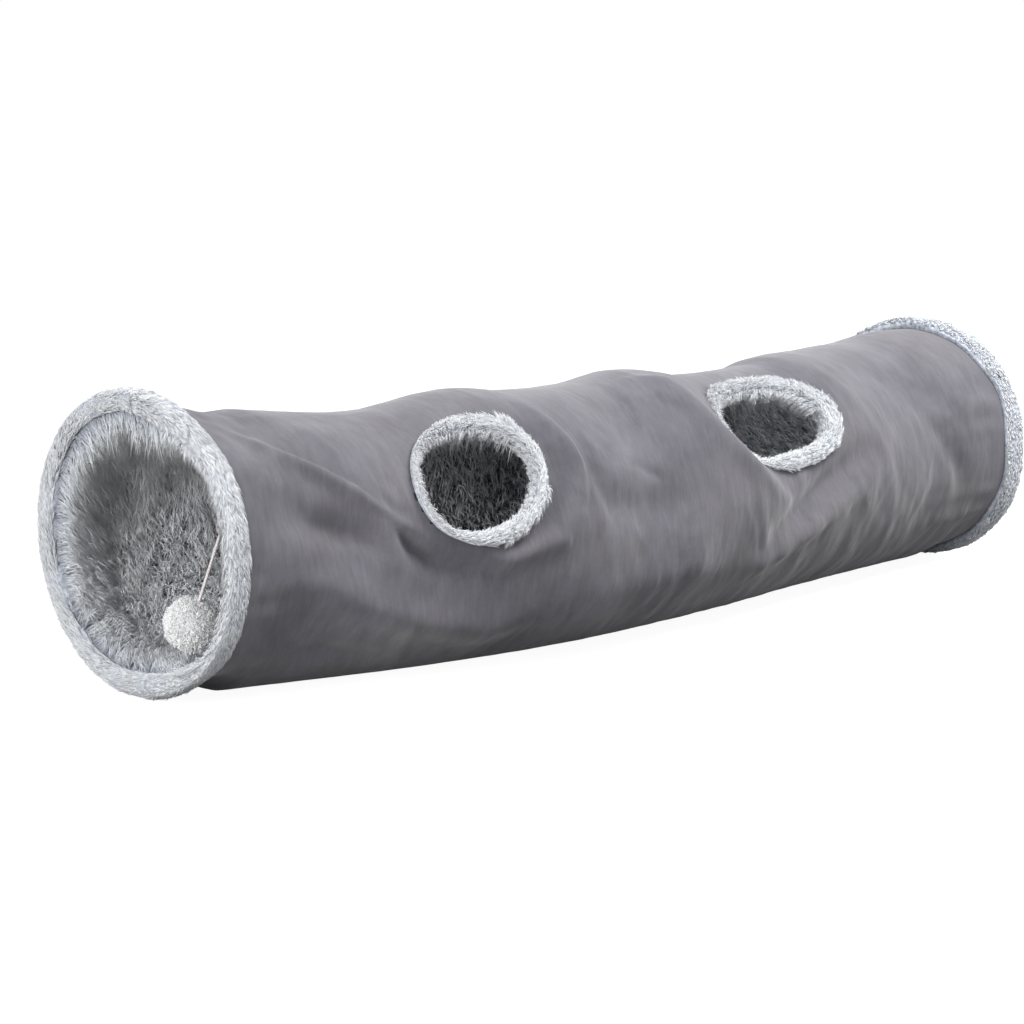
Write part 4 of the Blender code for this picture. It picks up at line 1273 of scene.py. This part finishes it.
fold = int(0.70 * len(front_chain))        # where the outer face ends and the inner one starts
outer_chain, inner_chain = front_chain[:fold], front_chain[fold:]
edge_chain = front_chain[int(0.58 * len(front_chain)):]
link(pile("front_binding_pile", mouth_place, outer_chain, HAIRS, length=0.0125, width=0.0009,
          lean=(-0.20, 1.00), rise=0.20, tuft=0.0080, draw=0.25, seed=101, stray=0.10),
     FROST_HAIR, "front")
link(pile("front_binding_fringe", mouth_place, inner_chain, HAIRS, length=0.0320, width=0.0010,
          lean=(0.42, 0.05), rise=0.50, tuft=0.0100, draw=0.60, seed=102, angles=FAR_SIDE,
          stray=0.18, droop=0.50),
     LINING_HAIR, "front")
link(pile("front_binding_tips", mouth_place, edge_chain, count=12000, length=0.0180, width=0.0009,
          lean=(0.35, 0.45), rise=0.60, tuft=0.0110, draw=0.80, seed=105, angles=NEAR_SIDE,
          weight=clear_of_ball, stray=0.22, droop=0.30),
     FROST_HAIR, "front")
link(pile("rear_binding_pile", rear_mouth_place, rear_chain, HAIRS, length=0.0060, width=0.0012,
          lean=(-0.15, 0.85), rise=0.16, tuft=0.0070, draw=0.20, seed=103, stray=0.16),
     FROST_HAIR, "rear")

# %% Pile on the bindings of the holes
for seed, hole in enumerate(HOLES):
    hairs = pile("hole_pile_" + hole, hole_place(hole), hole_chains[hole], count=15000,
                 length=0.0078, width=0.0009, lean=(0.15, 0.60), rise=0.30, tuft=0.0070,
                 draw=0.65, seed=111 + seed, side=-1.0, stray=0.24)
    collapse(link(hairs, FROST_HAIR, "front"))

# Loose tufts: hole, degrees round it, stretch of its chain, hairs, length, lean, rise
TUFTS = (
    ("rear", (85, 170), (0.42, 0.62), 900, 0.0170, (0.20, 0.30), 0.80),
    ("rear", (175, 265), (0.42, 0.58), 700, 0.0090, (0.50, 0.10), 0.60),
    ("front", (125, 235), (0.42, 0.60), 900, 0.0100, (0.60, 0.10), 0.60),
    ("front", (12, 75), (0.05, 0.25), 700, 0.0150, (-0.70, -0.60), 0.25),
    ("front", (128, 140), (0.10, 0.30), 160, 0.0140, (-0.70, 0.20), 0.60),
)
for number, (hole, degrees, part, count, length, lean, rise) in enumerate(TUFTS):
    first, last = (int(share * len(hole_chains[hole])) for share in part)
    hairs = pile("hole_tuft_" + str(number), hole_place(hole), hole_chains[hole][first:last],
                 count, length, 0.0008, lean, rise, tuft=0.0110, draw=0.85, seed=131 + number,
                 side=-1.0, angles=tuple(np.radians(degrees)), droop=0.20)
    collapse(link(hairs, FROST_HAIR, "front"))


# %% Long pile of the lining
LINING_DROOP = 0.50


def lining_place(axial, angle, radial):
    """Place on the lining, which sags with the cloth."""
    return lay(axial, angle, radial + cloth_shift(axial, angle))


def lining_pile(name, start, end, length, width, lean, rise, seed):
    """Long pile over one stretch of the lining, none in the side holes."""
    chain = np.array([(start, LINING_INNER), (end, LINING_INNER)])

    def off_holes(shares, angle):
        x = start + (end - start) * shares
        kept = np.ones(len(x))
        for hole in HOLES:
            kept = kept * (hole_reach(x, angle, hole) > HOLE_RADIUS + 0.6 * HOLE_RIM_LEG)
        return kept

    mesh = pile(name, lining_place, chain, HAIRS, length, width, (lean, 0.05), rise, tuft=0.012,
                draw=0.55, seed=seed, weight=off_holes, stray=0.24, droop=LINING_DROOP)
    return collapse(link(mesh, LINING_HAIR, "front"))


# Stretches: name, start, end, length of a hair, width, lean towards the rear, rise
STRETCHES = (
    ("mouth", 0.026, 0.095, 0.028, 0.0011, -0.20, 0.70),
    ("throat", 0.088, 0.180, 0.025, 0.0013, -0.25, 0.60),
    ("front", 0.172, 0.360, 0.022, 0.0016, -0.30, 0.55),
    ("middle", 0.350, 0.700, 0.020, 0.0020, -0.30, 0.50),
    ("rear", 0.690, 1.145, 0.020, 0.0022, 0.30, 0.50),
)
for seed, (name, *values) in enumerate(STRETCHES, 201):
    lining_pile("lining_pile_" + name, *values, seed)

# %% [markdown]
# ## Floor, light and background
# A plain floor, three soft lamps and a spot show the object and nothing else. The lamps are
# large, so that shadows are soft, and the world adds an even light from all round. The floor
# and the world look white to the camera, which leaves the light on the object alone.

# %% Floor
FLOOR_SIZE, FLOOR_DROP = 14.0, 0.0006
FLOOR_GREY, FLOOR_GLOW = 0.25, 0.94         # what the lamps light, and what the camera sees
WHITE = (1.0, 1.0, 1.0, 1.0)

bpy.ops.mesh.primitive_plane_add(size=FLOOR_SIZE, location=(0.0, 0.0, -FLOOR_DROP))
floor = bpy.context.object
floor.name = "floor"
floor_paint, paint = start_material("floor_paint", 0.9, specular=0.1)
lit_floor = paint.nodes["Principled BSDF"]
lit_floor.inputs["Base Color"].default_value = (*grey(FLOOR_GREY), 1.0)
seen_floor = add_node(paint, "Emission", Color=WHITE, Strength=FLOOR_GLOW)
no_glow = add_node(paint, "Emission", Strength=0.0)
seen_by = add_node(paint, "LightPath")
glow = add_node(paint, "MixShader")
both = add_node(paint, "AddShader")
join(paint, (seen_by, "Is Camera Ray", glow, "Fac"),
     (no_glow, "Emission", glow, 1), (seen_floor, "Emission", glow, 2),
     (lit_floor, "BSDF", both, 0), (glow, "Shader", both, 1),
     (both, "Shader", paint.nodes["Material Output"], "Surface"))
floor.data.materials.append(floor_paint)

# %% World
WORLD_TINT, WORLD_STRENGTH = (0.95, 0.97, 1.0, 1.0), 0.49

world = bpy.data.worlds.new("studio")
bpy.context.scene.world = world
world.use_nodes = True
sky = world.node_tree
around = sky.nodes["Background"]
around.inputs["Color"].default_value = WORLD_TINT
around.inputs["Strength"].default_value = WORLD_STRENGTH
white = add_node(sky, "Background", Color=WHITE, Strength=1.0)
rays = add_node(sky, "LightPath")
direct, any_seen = add_node(sky, "Math"), add_node(sky, "Math")
direct.operation = "MAXIMUM"
any_seen.operation = "MAXIMUM"
choose = add_node(sky, "MixShader")
join(sky, (rays, "Is Camera Ray", direct, 0), (rays, "Is Glossy Ray", direct, 1),
     (direct, "Value", any_seen, 0), (rays, "Is Transmission Ray", any_seen, 1),
     (any_seen, "Value", choose, "Fac"),
     (around, "Background", choose, 1), (white, "Background", choose, 2),
     (choose, "Shader", sky.nodes["World Output"], "Surface"))

# %% Lamps
LAMPS = (
    ("key", (0.7, -1.1, 2.2), (0.3, 0.0, 0.1), 1.2, 70.0),
    ("fill", (-2.9, -0.5, 0.8), (-0.6, 0.0, 0.13), 1.0, 52.0),
    ("rear", (3.0, 0.1, 0.7), (0.6, 0.0, 0.13), 1.2, 45.0),
)
SPOT_PLACE, SPOT_POWER = (-1.70, -1.62, 0.49), 36.0
SPOT_ANGLE, SPOT_SIZE = math.radians(3.0), 0.05


def aimed(name, kind, place, target, power):
    """Light of a kind at a place, turned towards a target."""
    lamp = bpy.data.objects.new(name, bpy.data.lights.new(name, kind))
    lamp.data.energy = power
    lamp.location = place
    lamp.rotation_euler = (Vector(target) - Vector(place)).to_track_quat("-Z", "Y").to_euler()
    bpy.context.scene.collection.objects.link(lamp)
    return lamp.data


for name, place, target, size, power in LAMPS:
    light = aimed(name, "AREA", place, target, power)
    light.shape = "DISK"
    light.size = size

# A narrow soft spot keeps the white ball from looking grey in the shade of the mouth
light = aimed("ball_spot", "SPOT", SPOT_PLACE, BALL_MIDDLE, SPOT_POWER)
light.spot_size = SPOT_ANGLE
light.spot_blend = 1.0
light.shadow_soft_size = SPOT_SIZE

bpy.context.scene.view_settings.view_transform = "Standard"
print("stage, world,", len(LAMPS), "lamps and a spot ready")
